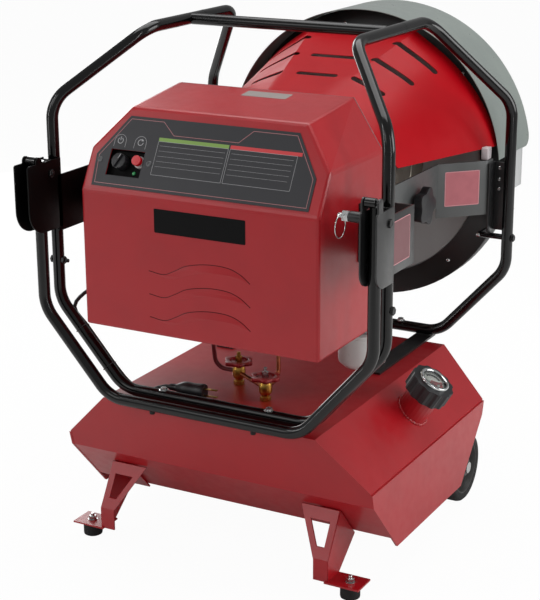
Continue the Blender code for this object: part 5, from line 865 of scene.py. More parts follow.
def coat(finish: Finish, *names: str) -> None:
    """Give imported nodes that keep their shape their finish.

    Args:
        finish: The finish that all of them take.
        names: The nodes.
    """
    for name in names:
        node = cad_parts[name]
        if not node.material_slots:
            node.data.materials.append(finish.material())
        for place in node.material_slots:
            place.material = finish.material()
        LOG.info("node %s: %s", name, finish.name)


# Camera, floor and lamps


@dataclass
class Studio:
    """The photograph's camera, a white sweep and soft lamps, in metres."""

    eye: Vector = field(default_factory=lambda: Vector((1.31444, -2.51799, 1.28645)))
    yaw: float = 28.7497 * DEG
    pitch: float = 17.3244 * DEG
    roll: float = -0.2932 * DEG
    lens_mm: float = 95.29
    goal: Vector = field(default_factory=lambda: Vector((0, 0, 0.5)))
    floor_white: float = 0.965
    room_strength: float = 0.33
    lamps: tuple = (    # each with its place, width, height and power in watts
        ("softbox_over", (-0.2, 0.5, 3.0), 2.6, 2.2, 52), ("softbox_right", (3.0, 1.1, 1.4), 1.8, 1.8, 50),
        ("softbox_front", (-1.2, -3.2, 2.2), 1.6, 1.2, 10), ("strip_left", (-1.9, -1.9, 1.3), 0.16, 2.2, 13),
        ("panel_left_rear", (-2.3, 1.7, 1.0), 1.0, 2.2, 26), ("strip_right", (2.2, -1.3, 1.2), 0.12, 2.2, 9))

    def build(self) -> None:
        """Place the camera, the floor and the lamps."""
        self.camera()
        self.floor()
        self.world()
        for name, spot, wide, tall, power in self.lamps:
            data = bpy.data.lights.new(name, "AREA")
            data.shape, data.size, data.size_y, data.energy = "RECTANGLE", wide, tall, power
            turn = (self.goal - Vector(spot)).to_track_quat("-Z", "Y").to_matrix().to_4x4()
            self.hang(name, data, Matrix.Translation(spot) @ turn)

    def hang(self, name: str, data: bpy.types.ID, place: Matrix) -> Piece:
        """Put a lamp or a camera into the scene.

        Args:
            name: Its name.
            data: The lamp or camera.
            place: Where it goes.

        Returns:
            Its object.
        """
        piece = bpy.data.objects.new(name, data)
        bpy.context.scene.collection.objects.link(piece)
        piece.matrix_world = place
        return piece

    def camera(self) -> None:
        """Place the camera at the photograph's angle."""
        data = bpy.data.cameras.new("photo_camera")
        data.lens, data.sensor_width, data.sensor_fit = self.lens_mm, 36, "AUTO"
        data.clip_start, data.clip_end = 0.05, 60
        turn = (Matrix.Rotation(self.yaw, 4, "Z") @ Matrix.Rotation(math.pi / 2 - self.pitch, 4, "X")
                @ Matrix.Rotation(self.roll, 4, "Z"))
        bpy.context.scene.camera = self.hang("photo_camera", data, Matrix.Translation(self.eye) @ turn)
        bpy.context.scene.view_settings.view_transform = "Standard"

    def floor(self) -> None:
        """Lay the plain white floor, which keeps a faint shadow."""
        Bench.put_down()
        bpy.ops.mesh.primitive_grid_add(x_subdivisions=8, y_subdivisions=8, size=16)
        floor = Bench.named("studio_floor")
        material = bpy.data.materials.new("white_paper_sweep")
        material.use_nodes = True
        tree = material.node_tree
        shader = tree.nodes["Principled BSDF"]
        for name, value in (("Base Color", linear("#E4E4E3")), ("Roughness", 0.9), ("Specular IOR Level", 0.1)):
            shader.inputs[name].default_value = value
        glow = add_node(tree, "ShaderNodeEmission", {"Color": WHITE, "Strength": 1.0})
        mix = lit_by_camera(tree, self.floor_white, shader.outputs["BSDF"], glow.outputs[0])
        tree.links.new(mix, tree.nodes["Material Output"].inputs["Surface"])
        floor.data.materials.append(material)

    def world(self) -> None:
        """Fill the room with even grey light that the camera sees as white."""
        world = bpy.data.worlds.new("studio_room")
        bpy.context.scene.world = world
        world.use_nodes = True
        tree = world.node_tree
        room = tree.nodes["Background"]
        room.inputs["Color"].default_value = WHITE
        room.inputs["Strength"].default_value = self.room_strength
        white = add_node(tree, "ShaderNodeBackground", {"Color": WHITE, "Strength": 1.0})
        mix = lit_by_camera(tree, 1.0, room.outputs[0], white.outputs[0])
        tree.links.new(mix, tree.nodes["World Output"].inputs["Surface"])


# Mains lead

CORD_POINTS = (    # along the cord's middle from the gland to the plug, in metres
    (-0.2466, -0.2095, 0.4700), (-0.2536, -0.2095, 0.4700), (-0.2640, -0.2173, 0.4681), (-0.2687, -0.2265, 0.4664),
    (-0.2731, -0.2357, 0.4641), (-0.2778, -0.2446, 0.4613), (-0.2826, -0.2533, 0.4583), (-0.2874, -0.2620, 0.4550),
    (-0.2919, -0.2707, 0.4514), (-0.2959, -0.2794, 0.4471), (-0.2993, -0.2878, 0.4419), (-0.3017, -0.2958, 0.4358),
    (-0.3013, -0.3025, 0.4278), (-0.2962, -0.3050, 0.4192), (-0.2892, -0.3048, 0.4115), (-0.2819, -0.3039, 0.4042),
    (-0.2747, -0.3034, 0.3966), (-0.2678, -0.3033, 0.3887), (-0.2609, -0.3033, 0.3809), (-0.2540, -0.3033, 0.3730),
    (-0.2471, -0.3033, 0.3652), (-0.2402, -0.3033, 0.3573), (-0.2334, -0.3033, 0.3494), (-0.2266, -0.3033, 0.3415),
    (-0.2197, -0.3033, 0.3336), (-0.2125, -0.3034, 0.3261), (-0.2050, -0.3037, 0.3188), (-0.1973, -0.3042, 0.3118),
    (-0.1891, -0.3045, 0.3053), (-0.1804, -0.3045, 0.2996), (-0.1710, -0.3043, 0.2949), (-0.1612, -0.3028, 0.2920),
    (-0.1515, -0.2991, 0.2927), (-0.1423, -0.2948, 0.2951), (-0.1335, -0.2903, 0.2986), (-0.1212, -0.2860, 0.3018),
    (-0.1143, -0.2855, 0.3018),
)


@dataclass
class MainsLead:
    """The round mains cord with its gland, its plug and its ties."""

    radius: float = 3.5 * MM
    plug_turn: float = 4 * DEG
    neck: Outline = ((5.2, -13.8), (5.4, -11.5), (6.0, -11.5), (6.0, -9.4), (5.2, -9.4), (5.4, -7), (6.3, -7),
                     (6.3, -4.8), (5.5, -4.8), (5.8, -2.4), (6.6, -2.4), (6.6, 0))
    grip: Outline = ((9.2, 5), (13.0, 13), (14.1, 20), (13.4, 28), (13.1, 36), (13.9, 44), (14.2, 49), (14.2, 53.4),
                     (13.2, 55.6))
    nut: Outline = ((10.8, 0), (10.8, 7), (10, 8.4), (6, 8.4))
    sleeve: Outline = ((7.5, 8), (7.3, 10), (6.2, 11), (6.6, 12), (5.6, 13.4), (6.0, 14.4), (5.0, 16), (5.3, 17),
                       (4.4, 20))
    tie_steps: Sequence[int] = (16, 24)

    def build(self) -> None:
        points = [Vector(p) for p in CORD_POINTS]
        cord = Bench.curve("mains_cord", [points], dimensions="3D", bevel_depth=self.radius, bevel_resolution=5,
                           use_fill_caps=True)
        dress(cord, CORD_SHEATH, "cord_run")
        self.plug()
        wall = at(-226.3, -130, 470)
        nut = Bench.turned("gland_nut", self.nut, Bench.axis(wall, -RIGHT), 6, angle=20)
        sleeve = Bench.turned("gland_sleeve", self.sleeve, Bench.axis(wall, -RIGHT), 24)
        dress(Bench.join("cord_relief", [nut, sleeve]), BLACK_ABS, "cord_gland")
        self.ties()

    def plug(self) -> list[Piece]:
        """Mould the plug: ribbed neck, shouldered grip and flat prongs.

        Returns:
            The pieces that lie on the end of the cord.
        """
        heading = Vector((math.cos(self.plug_turn), math.sin(self.plug_turn), 0))
        back = at(-100, -205, 301.8)
        body = Bench.turned("plug_body", self.neck + self.grip, Bench.axis(back, heading), 40)
        dress(body, BLACK_ABS, "plug")
        prongs = []
        for index, z in enumerate((-6.35, 6.35)):
            prong = Bench.box(f"prong_{index}", mm(0, -3.1, -0.8), mm(25.0, 3.1, 0.8), 0.5)
            root = Matrix.Translation(back + heading * 55.0 * MM + mm(0, 0, z))
            prongs.append(Bench.settle(prong, root @ Matrix.Rotation(self.plug_turn, 4, "Z")))
        return [body, dress(Bench.join("plug_prongs", prongs), BRASS)]

    def ties(self) -> None:
        """Strap the cord to the back of the slanting tube with two cable ties."""
        for index, step in enumerate(self.tie_steps):
            before, spot, after = [Vector(CORD_POINTS[step + i]) for i in (-1, 0, 1)]
            side = (after - before).normalized().cross(AHEAD).normalized()
            halves = (spot, 3.9, -90), (spot - mm(0, 16.1, 0), 11.3, 90)
            loop = [middle + (AHEAD * x + side * y) * MM for middle, radius, start in halves
                    for x, y in arc(radius, start, start + 180, 24)]
            dress(Bench.tube(f"cable_tie_{index}", loop, 0.8, 2, closed=True), BLACK_ABS)


# Tube frame


@dataclass
class TubeFrame:
    """The bent tubes that carry the heater, with their bolts, lugs and folding handle."""

    radius: float = 10.5
    bend: float = 62
    bend_steps: int = 14
    top_z: float = 919
    bar_y: float = 24
    upright_x: float = 319
    nut_reach: float = 10.2     # from a tube's middle to the seat of a nut on it
    run_bolt_x: float = 105
    stop: Spot = (-240, 518)    # Y and Z of the stop bolts
    standoff: Spot = (303, 508)
    post_x: float = 263.5
    lug_screw_z: Spot = (640, 618, 600)
    front: Sequence[Spot] = ((199, 75, 919), (199, -114, 919), (319, -240, 801), (319, -240, 447),
                             (188, -240, 297.95))
    rear: Sequence[Spot] = ((199, 75.4, 919), (199, 181, 919), (319, 303, 762), (319, 303, 447), (188, 303, 302.25))
    fold: Sequence[Spot] = ((319, -286, 705), (319, -286, 444.5), (188, -286, 295.45))
    eye: Outline = ((4.6, -9), (7.4, -9), (7.9, -8.4), (7.9, 8.4), (7.4, 9), (4.6, 9))
    bumper: Outline = ((4.9, -1.5), (4.9, 3.4), (4.2, 4.8), (2, 4.8), (1.7, 3.8))
    lug_screw: Outline = ((3.4, -0.5), (3.4, 1.2), (2.6, 2.2), (1.2, 2.3))
    post_screw: Outline = ((3.6, -0.4), (3.6, 2), (2, 2.8))

    def loop(self, name: str, half: Sequence[Spot]) -> Piece:
        """Bend one loop of tube from the corners of its right half."""
        whole = [at(*p) for p in half] + [at(-x, y, z) for x, y, z in reversed(half)]
        return Bench.tube(name, rounded_route(whole, self.bend, self.bend_steps), self.radius, 8)

    def collar(self, name: str, half: float, spot: Vector, along: Vector) -> Piece:
        """A thin raised ring round a tube, of half its width either way."""
        ring = self.radius + 0.15
        return Bench.turned(name, [(ring, -half), (ring, half)], Bench.axis(spot, along), 32)

    def build(self) -> None:
        """Bend the tubes and fit the small pieces on them."""
        front, rear = self.loop("front_loop", self.front), self.loop("rear_loop", self.rear)
        bar = Bench.rod("cross_tube", *[at(x, self.bar_y, self.top_z) for x in (-192, 192)], self.radius - 0.4, 32)
        swages = [self.collar(f"swage_{s.word}", 4, at(s.value * 199, 71, self.top_z), AHEAD) for s in Side]
        seams = [self.collar(f"sleeve_{s.word}", 1, at(s.value * self.upright_x, 303, 564), UP) for s in Side]
        dress(Bench.join("front_loop", [front, *swages]), BLACK_TUBE_ENAMEL, "front_frame")
        dress(Bench.join("rear_loop", [rear, *seams]), BLACK_TUBE_ENAMEL, "rear_frame")
        dress(bar, BLACK_TUBE_ENAMEL, "crossbar")
        self.handle()
        for side in Side:
            self.bolts(side)
        for side in Side:
            self.lugs(side)

    def handle(self) -> None:
        """Bend the folding handle, with the welded eyes that it turns on and its rubber bumpers."""
        parts = [self.loop("pulling_handle", self.fold)]
        for side in Side:
            s, word = side.value, side.word
            place = Bench.axis(at(s * self.upright_x, *PIVOT), RIGHT)
            parts.append(Bench.turned(f"handle_eye_{word}", self.eye, place, 28, ring=True))
            bumper = Bench.turned(f"grip_bumper_{word}", self.bumper, Bench.axis(at(s * 100, -286, 284.9), -UP), 20)
            dress(bumper, FOOT_RUBBER, body="fold_handle")
        dress(Bench.join("pulling_handle", parts), BLACK_TUBE_ENAMEL, "fold_handle", body="fold_handle")

    def bolts(self, side: Side) -> None:
        """Put the bolts through the lower runs and a nut with its stud on the upright.

        Args:
            side: The side of the heater.
        """
        s, word = side.value, side.word
        seats = [at(s * self.run_bolt_x, y, z + self.nut_reach) for _, y, z in (self.front[-1], self.rear[-1])]
        heads = [Bench.hex_bolt(f"run_bolt_{i}_{word}", seat, UP, 6.3, 4.0, 0.8) for i, seat in enumerate(seats)]
        dress(Bench.join(f"run_bolts_{word}", heads), ZINC_PLATE)
        parts = []
        for kind, way in (("bolt", 1), ("nut", -1)):
            seat = at(s * (self.upright_x + way * self.nut_reach), *self.stop)
            parts.append(Bench.hex_bolt(f"stop_{kind}_{word}", seat, RIGHT * s * way, 7.2, 4.4))
        parts.append(Bench.rod(f"stop_stud_{word}", *[at(s * x, *self.stop) for x in (310, 297.5)], 3.4, 18, 0.6))
        dress(Bench.join(f"stop_{word}", parts), BLACK_OXIDE)

    def lugs(self, side: Side) -> None:
        """Fold the lug on a rear upright and fit the standoff that carries the rim.

        Args:
            side: The side of the heater.
        """
        s, word = side.value, side.word
        parts = []
        for name, near, far, low, high in (("lug", 287.8, 290.8, (273.2, 520), (302, 652)),
                                           ("lug_web", 288.6, 312, (301.5, 521), (304.5, 651))):
            left, right = side.span(near, far)
            parts.append(Bench.box(f"{name}_{word}", at(left, *low), at(right, *high), 0.7))
        dress(Bench.join(f"rear_lug_{word}", parts), BLACK_SHEET_ENAMEL, slot="black_paint")
        for index, z in enumerate(self.lug_screw_z):
            place = Bench.axis(at(s * 300, 301.6, z), -AHEAD)
            dress(Bench.turned(f"lug_screw_{index}_{word}", self.lug_screw, place, 16), ZINC_PLATE)
        z = self.standoff[1]
        bar = Bench.rod(f"standoff_bar_{word}", *[at(s * x, *self.standoff) for x in (310, 260)], 5.4, 20, 0.8)
        post = Bench.rod(f"standoff_post_{word}", *[at(s * self.post_x, y, z) for y in (299, 366)], 4.6, 18)
        dress(Bench.join(f"standoff_{word}", [bar, post]), BLACK_TUBE_ENAMEL)
        seat = at(s * (self.upright_x + self.nut_reach), *self.standoff)
        dress(Bench.hex_bolt(f"standoff_bolt_{word}", seat, RIGHT * s, 6.4, 3.6, 0.6), BLACK_OXIDE)
        place = Bench.axis(at(s * self.post_x, 297.6, z), -AHEAD)
        dress(Bench.turned(f"standoff_screw_{word}", self.post_screw, place, 16), ZINC_PLATE)


# Side brackets and plunger


@dataclass
class SideBracket:
    """One folded double bracket that joins the box to the front tube and carries the handle's pivot."""

    side: Side
    nose_y: float
    rise: float
    rounding: float
    inner_x: Spot = (305.05, 308.05)
    outer_x: Spot = (332.65, 335.65)
    bolt_y: float = -269.5
    pin_tip: float = 334.8

    def outline(self, back_y: float) -> Outline:
        """The plate seen from the side.

        Args:
            back_y: Where the plate ends at the back.

        Returns:
            Corners along Y and Z.
        """
        foot, shoulder, front, nose = 569 + self.rise, 692 + self.rise, -self.nose_y, self.rounding
        return [*arc(nose, 180, 270, 10, (front + nose, foot + nose)), (back_y, foot), (back_y, shoulder),
                (-294, shoulder), *arc(8, 0, 180, 10, PIVOT), (-310, shoulder), (front + 3, shoulder),
                (front, shoulder - 3)]

    def build(self) -> None:
        """Cut, fold and weld the bracket, put its bolt through and stick its blank label on."""
        s, word = self.side.value, self.side.word
        low, high = 562 + self.rise, 662 + self.rise
        inner, outer = self.side.span(*self.inner_x)[0], self.side.span(*self.outer_x)[0]
        arm = [(-250.95, low), (-111, low), (-111, high), (-250.95, high)]
        parts = [from_side(f"{name}_{word}", outline, 3, x, 0.5) for name, outline, x in (
            ("inner", self.outline(-240.3), inner), ("arm", arm, inner), ("outer", self.outline(-250.95), outer))]
        for name, x, y, z in (("return", (226.3, 307.2), (-114, -111.8), (low + 0.8, high - 0.8)),
                              ("tab", (226.3, 229.3), (-151, -112.5), (low, high)),
                              ("web", (305.9, 333.4), (-253.95, -250.95), (572 + self.rise, 689 + self.rise))):
            left, right = self.side.span(*x)
            parts.append(Bench.box(f"{name}_{word}", at(left, y[0], z[0]), at(right, y[1], z[1]), 0.4, 1))
        # Painted shade: the left bracket takes a darker, duller copy of the right bracket's black enamel
        finish = BLACK_SHEET_ENAMEL if self.side is Side.RIGHT else SHADED_SHEET_ENAMEL
        dress(Bench.join(f"bracket_{word}", parts), finish, f"side_bracket_{word}")
        pin = Bench.rod(f"pivot_pin_{word}", at(s * 305.9, *PIVOT), at(s * self.pin_tip, *PIVOT), 3.9, 20)
        dress(pin, BLACK_OXIDE)
        hole = at(0, self.bolt_y, 669 + self.rise)
        head = Bench.hex_bolt(f"plate_head_{word}", hole + mm(s * self.outer_x[1], 0, 0), RIGHT * s, 7.2, 3.6)
        ends = [hole + mm(s * x, 0, 0) for x in (299.3, self.pin_tip)]
        shank = Bench.rod(f"plate_shank_{word}", *ends, 3.3, 18, 0.5)
        nut = Bench.hex_bolt(f"plate_nut_{word}", hole + mm(s * self.inner_x[0], 0, 0), RIGHT * -s, 7.2, 3.6)
        steel = ZINC_PLATE if self.side is Side.RIGHT else BLACK_OXIDE
        dress(Bench.join(f"plate_nut_{word}", [nut, shank]), steel)
        dress(head, BLACK_OXIDE)
        for name, margin, thick, finish in (("arm_label_edge", 0.0, 0.35, LABEL_BORDER),
                                            ("arm_label_film", 1.4, 0.5, DARK_ROSE_LABEL)):
            corners = rounded_outline((-206 + margin, low + 15 + margin), (-128 - margin, high - 12 - margin), 2.0)
            left = self.side.span(self.inner_x[1], self.inner_x[1] + thick)[0]
            dress(from_side(f"{name}_{word}", corners, thick, left), finish)


@dataclass
class Plunger:
    """The spring plunger inside the right bracket, with its pull ring."""

    y: float = -286
    z: float = 677
    barrel: Outline = ((3.7, 0.2), (8.6, 0.2), (8.9, 1), (8.9, 26), (8.0, 29.4), (3.7, 29.4))
    locknut: Outline = ((3.7, 29.4), (8.6, 29.4), (9.4, 30.2), (9.4, 40.4), (8.4, 41.2), (3.7, 41.2))
    pin: Outline = ((2.6, -2.9), (3.2, -2.2), (3.2, 42.1), (4.4, 42.3), (4.4, 47.6), (3.6, 49.2))
    ring: float = 18.4

    def build(self) -> None:
        """Turn the barrel, the nut and the pin and bend the ring."""
        start = at(304.75, self.y, self.z)
        place = Bench.axis(start, -RIGHT)
        dress(Bench.turned("plunger_barrel", self.barrel, place, 36, ring=True), BLACK_OXIDE, "plunger_body")
        nut = Bench.turned("plunger_locknut", self.locknut, Bench.axis(start, -RIGHT, HEX_TURN), 6, True, 20)
        dress(nut, ZINC_PLATE)
        dress(Bench.turned("plunger_pin", self.pin, place, 24), ZINC_PLATE, "plunger", body="plunger")
        wire = [at(258.9, self.y + y, 658.8 + z) for y, z in arc(self.ring, 0, 352.5, 47)]
        ring = Bench.tube("split_ring", wire, 1.0, 3, closed=True)
        dress(ring, ZINC_PLATE, "pull_ring", body="pull_ring")


# Head


@dataclass
class Head:
    """Chamber, reflector, rim, hood and guard."""

    axis_z: float = 623.5
    steps: int = 96
    hood_inner: float = 288.7
    hood_sheet: float = 1.15
    foot_angle: float = 5
    screw_radius: float = 262
    screw: Outline = ((3.6, -1.2), (3.6, 0.7), (2.6, 1.7), (1, 2))
    chamber: Outline = ((50.6, -54), (119.4, -54), (119.9, -53.2), (119.9, -22), (118.6, -20.5), (118.6, -16.5),
                        (119.9, -15), (119.9, 300), (118.6, 301.5), (118.6, 305.5), (119.9, 307), (119.9, 371.9),
                        (118.6, 371.9), (118.6, -52.6), (50.6, -52.6))
    bowl: Outline = ((120.4, 360.5), (125.5, 360.5), (237.5, 360.5), (285, 398.2), (285, 399.4), (237, 361.9),
                     (125.5, 361.9), (120.4, 361.9))
    lining: Outline = ((121, 361.8), (236.9, 361.8), (284.6, 399.3), (284.3, 399.5), (236.7, 362.2), (121, 362.2))
    rim: Outline = ((239.4, 358.3), (286.7, 378.2), (287.3, 379.4), (287.3, 411), (286.8, 411.9), (285.7, 411.9),
                    (285.5, 380), (239.4, 360.2))
    hood_tab: Outline = ((406.3, 650), (406.3, 579), (408, 577.3), (448, 577.3), (449.7, 579), (449.7, 650))
    guard_radius: float = 282.7
    guard_rings: Spot = (1, 0.68, 0.36)
    guard_y: float = 430
    guard_foot: float = 28.5

    def spot(self, radius: float, turn: float, y: float) -> Vector:
        """A place round the heat axis, the turn in degrees."""
        x, z = polar(radius, turn)
        return at(x, y, self.axis_z + z)

    def build(self) -> None:
        """Turn the round pieces, bend the hood and weld the guard."""
        dome = [(133.8 * r, 374.4 + 23.9 * h) for r, h in arc(1, 0, 82.5, 11)]
        under = [(116.6 * r, 374.4 + 21.4 * h) for r, h in arc(1, 82.5, 0, 11)]
        disc = [(133.8, 372.4), *dome, (1, 398.2), (1, 396.2), *under, (116.6, 372.4)]
        place = Bench.axis(at(0, 0, self.axis_z), AHEAD)
        for name, profile, steps, finish, replaces in (
                ("chamber_drum", self.chamber, 72, HEATED_STEEL, ["combustion_chamber"]),
                ("glowing_disc", disc, 72, HEATED_STEEL, ["emitter_disc"]),
                ("reflector_bowl", self.bowl, self.steps, HEATPROOF_GREY, ["reflector"]),
                ("reflector_lining", self.lining, self.steps, HEATED_STEEL, []),
                ("rim_ring", self.rim, self.steps, RIM_ENAMEL, ["reflector_rim"])):
            dress(Bench.turned(name, profile, place, steps, ring=True, angle=28), finish, *replaces)
        for index in range(12):
            turn = index * 30 + 12
            x, z = polar(0.387, turn)
            seat = Bench.axis(self.spot(self.screw_radius, turn, 367.7), Vector((x, -0.922, z)))
            dress(Bench.turned(f"rim_screw_{index}", self.screw, seat, 14), ZINC_PLATE)
        self.hood()
        self.guard()

    def hood(self) -> None:
        """Bend the hood's sheet, round its lower front corners and add its tabs."""
        sheet = band(self.hood_inner + self.hood_sheet, self.hood_inner, self.foot_angle, 180 - self.foot_angle, 80,
                     (0, self.axis_z))
        hood = Bench.flat("hood_sheet", sheet, 167.6, facing_front(492.8))
        corner = [*arc(24, -90, 0, 10, (468.9, 672.6)), (500, 672.6), (500, 630), (468.9, 630)]
        Bench.cut(hood, from_side("corner_cutter", corner, 620, -310))
        Bench.smooth(hood, 25)
        for side in Side:
            low = side.span(self.hood_inner, self.hood_inner + 1.2)[0]
            dress(from_side(f"hood_tab_{side.word}", self.hood_tab, 1.2, low, 0.2), HOOD_TAB_ENAMEL)
        dress(hood, HOOD_ENAMEL, "visor_hood")

    def guard(self) -> None:
        """Bend the guard's rings and weld its spokes and feet on."""
        wires = []
        for index, share in enumerate(self.guard_rings):
            route = [self.spot(self.guard_radius * share, i * 5, self.guard_y) for i in range(72)]
            wires.append(Bench.tube(f"guard_ring_{index}", route, 2.3, 3, closed=True))
        for index in range(4):
            turn = (index + 0.5) * 90
            inner = self.spot(self.guard_radius * self.guard_rings[-1], turn, self.guard_y)
            knee, foot = [self.spot(self.guard_radius, turn, self.guard_y - y) for y in (0, self.guard_foot)]
            wires.append(Bench.tube(f"guard_spoke_{index}", [inner, knee], 1.7, 3))
            wires.append(Bench.tube(f"guard_foot_{index}", [knee, foot], 2.2, 3))
        dress(Bench.join("guard_wires", wires), ZINC_PLATE, "front_guard")


@dataclass
class TopCover:
    """The slotted cover: a flat top between two folds and sides that curve down."""

    sheet: float = 1.1
    rear_y: float = 4.3
    front_y: float = 339.7
    rear: Outline = ((45, 775), (105, 763), (155, 743), (195, 719), (226, 691))
    front: Outline = ((108, 877), (178, 828), (229, 776), (262, 724), (282, 674))
    top_slots: Outline = ((140, 42), (214, 50))
    side_slots: Outline = ((140, 36), (214, 48), (284, 52))

    def edge(self, name: str, places: Outline, y: float) -> Piece:
        """One end of the cover as a chain of points from left to right.

        Args:
            name: Name of the chain.
            places: Points down the right side, from the fold to the lower edge.
            y: Where the end lies.

        Returns:
            The chain.
        """
        down = smooth_line([Vector((x, 0, z - 0.3)) for x, z in places], 6)
        chain = [Vector((-p.x, 0, p.z)) for p in reversed(down)]
        chain += [Vector((down[0].x * (i / 3 - 1), 0, down[0].z)) for i in (1, 2, 3, 4, 5)] + down
        return Bench.meshed(Bench.curve(name, [[at(p.x, y, p.z) for p in chain]], dimensions="3D"))

    def build(self) -> None:
        """Roll the sheet between its two ends, cut the slots and add the end tabs."""
        cover = Bench.join("cover_sheet", [self.edge("cover_back", self.rear, self.rear_y),
                                           self.edge("cover_front", self.front, self.front_y)])
        Bench.take(cover)
        bpy.ops.object.mode_set(mode="EDIT")
        bpy.ops.mesh.select_all(action="SELECT")
        bpy.ops.mesh.bridge_edge_loops(number_cuts=7, interpolation="LINEAR")
        bpy.ops.mesh.select_all(action="SELECT")
        bpy.ops.mesh.normals_make_consistent(inside=False)
        bpy.ops.object.mode_set(mode="OBJECT")
        if max(cover.data.polygons, key=lambda face: face.center.z).normal.z < 0:
            bpy.ops.object.mode_set(mode="EDIT")
            bpy.ops.mesh.flip_normals()
            bpy.ops.object.mode_set(mode="OBJECT")
        wall = cover.modifiers.new("wall", "SOLIDIFY")
        wall.thickness, wall.offset, wall.use_even_offset = self.sheet * MM, -1, True
        bpy.ops.object.modifier_apply(modifier=wall.name)
        for cutter in self.slots():
            Bench.cut(cover, cutter)
        dress(Bench.smooth(Bench.close(cover), 22), COVER_COAT, "top_cover")
        for side in Side:
            low, high = side.span(270.3, 284.0)
            tab = Bench.box(f"cover_tab_{side.word}", at(low, 279.2, 656.4), at(high, 298.6, 679.6), 2.0, 3)
            dress(tab, PALE_TAB)

    def slots(self) -> list[Piece]:
        """Make cutters with round ends for the slots on the top and on both shoulders.

        Returns:
            The cutters.
        """
        made = []
        for index, (y, half) in enumerate(self.top_slots):
            outline = rounded_outline((-half, -6), (half, 6), 5.9, 5)
            made.append(Bench.flat(f"top_cutter_{index}", outline, 60, Matrix.Translation(at(0, y, 800))))
        for side in Side:
            for index, (y, half) in enumerate(self.side_slots):
                share = (y - 4) / 336
                a, b = [Vector((r[0] + (f[0] - r[0]) * share, 0, r[1] + (f[1] - r[1]) * share))
                        for r, f in zip(self.rear[:2], self.front[:2])]
                middle, along = a.lerp(b, 0.52), (b - a).normalized()
                lean = Matrix.Rotation(side.value * math.atan2(-along.z, along.x), 4, "Y")
                place = Matrix.Translation(at(side.value * middle.x, y, middle.z)) @ lean @ moved(0, 0, -15)
                outline = rounded_outline((-half, -6.5), (half, 6.5), 6.4, 5)
                made.append(Bench.flat(f"shoulder_cutter_{index}_{side.word}", outline, 30, place))
        return made


@dataclass
class SidePlate:
    """One folded plate that carries the head, with its blank label."""

    side: Side
    strips: tuple = (((195, -52.7), (215, -52.7), 575.2, 656.8), ((215, -54), (215, 203), 575.2, 656.8),
                     ((215, 203), (286, 276), 555.3, 657.4), ((286, 276), (286, 298), 555.3, 657.4))

    def build(self) -> None:
        """Fold the plate from flat strips and stick the label on the slanting one."""
        s, word = self.side.value, self.side.word
        parts = []
        for index, ((x0, y0), (x1, y1), low, high) in enumerate(self.strips):
            run = Vector((s * (x1 - x0), y1 - y0, 0))
            place = upright_strip(at(s * x0, y0, low), run) @ moved(0, 0, -1.4)
            outline = [(0, 0), (run.length, 0), (run.length, high - low), (0, high - low)]
            parts.append(Bench.flat(f"strip_{index}_{word}", outline, 2.8, place, 0.45))
        dress(Bench.join(f"side_plate_{word}", parts), PLATE_ENAMEL, f"support_panel_{word}")
        run = Vector((s * 71, 73, 0)).normalized()
        out = Vector((s * run.y, -s * run.x, 0))
        place = upright_strip(at(s * 215, 203, 555.3) + (run * 17 + out * 1.35) * MM, run)
        for name, low, high, corner, thick, right, left, finish in (
                ("edge", (-1, 21), (68, 86), 2, 0.45, 0, -0.45, LABEL_BORDER),
                ("film", (0.6, 22.6), (66.4, 84.4), 1.4, 0.3, 0.3, -0.6, LABEL_ROSE)):
            lift = right if self.side is Side.RIGHT else left
            outline = rounded_outline(low, high, corner)
            dress(Bench.flat(f"label_{name}_{word}", outline, thick, place @ moved(0, 0, lift)), finish)


@dataclass
class ClampKnob:
    """The lobed knob on the right side plate."""

    radius: float = 35.4
    dip: float = 0.12
    lobes: int = 5
    y: float = 112
    z: float = 600
    cap: Outline = ((13, 0), (13, 0.2), (12, 0.28))
    hub: Outline = ((11.8, 0), (11.8, 7.4))

    def build(self) -> None:
        """Cut the lobed body, its hub and its stud."""
        body = Bench.flat("knob_lobes", lobed(self.radius, self.dip, self.lobes, 90), 14.6,
                          sideways(223.9) @ moved(self.y + TANK_MIDDLE, self.z, 0), 2.2)
        cap, hub = [Bench.turned(f"knob_{name}", profile, Bench.axis(at(x, self.y, self.z), RIGHT), 28)
                    for name, profile, x in (("cap", self.cap, 238.4), ("hub", self.hub, 217.0))]
        dress(Bench.join("knob_lobes", [body, cap, hub]), BLACK_ABS, "clamp_knob", body="clamp_knob")
        stud = Bench.rod("knob_stud", at(203, self.y, self.z), at(218, self.y, self.z), 3.9, 18, 0.5)
        dress(stud, ZINC_PLATE, body="clamp_knob")


# Control box

# The sloping panel's own place: X across it, Y up its slope and Z out of it
PANEL = Matrix.Translation(at(0, -293.3, 668)) @ Matrix(((1, 0, 0, 0), (0, 0.49178, -0.87072, 0),
                                                         (0, 0.87072, 0.49178, 0), (0, 0, 0, 1)))


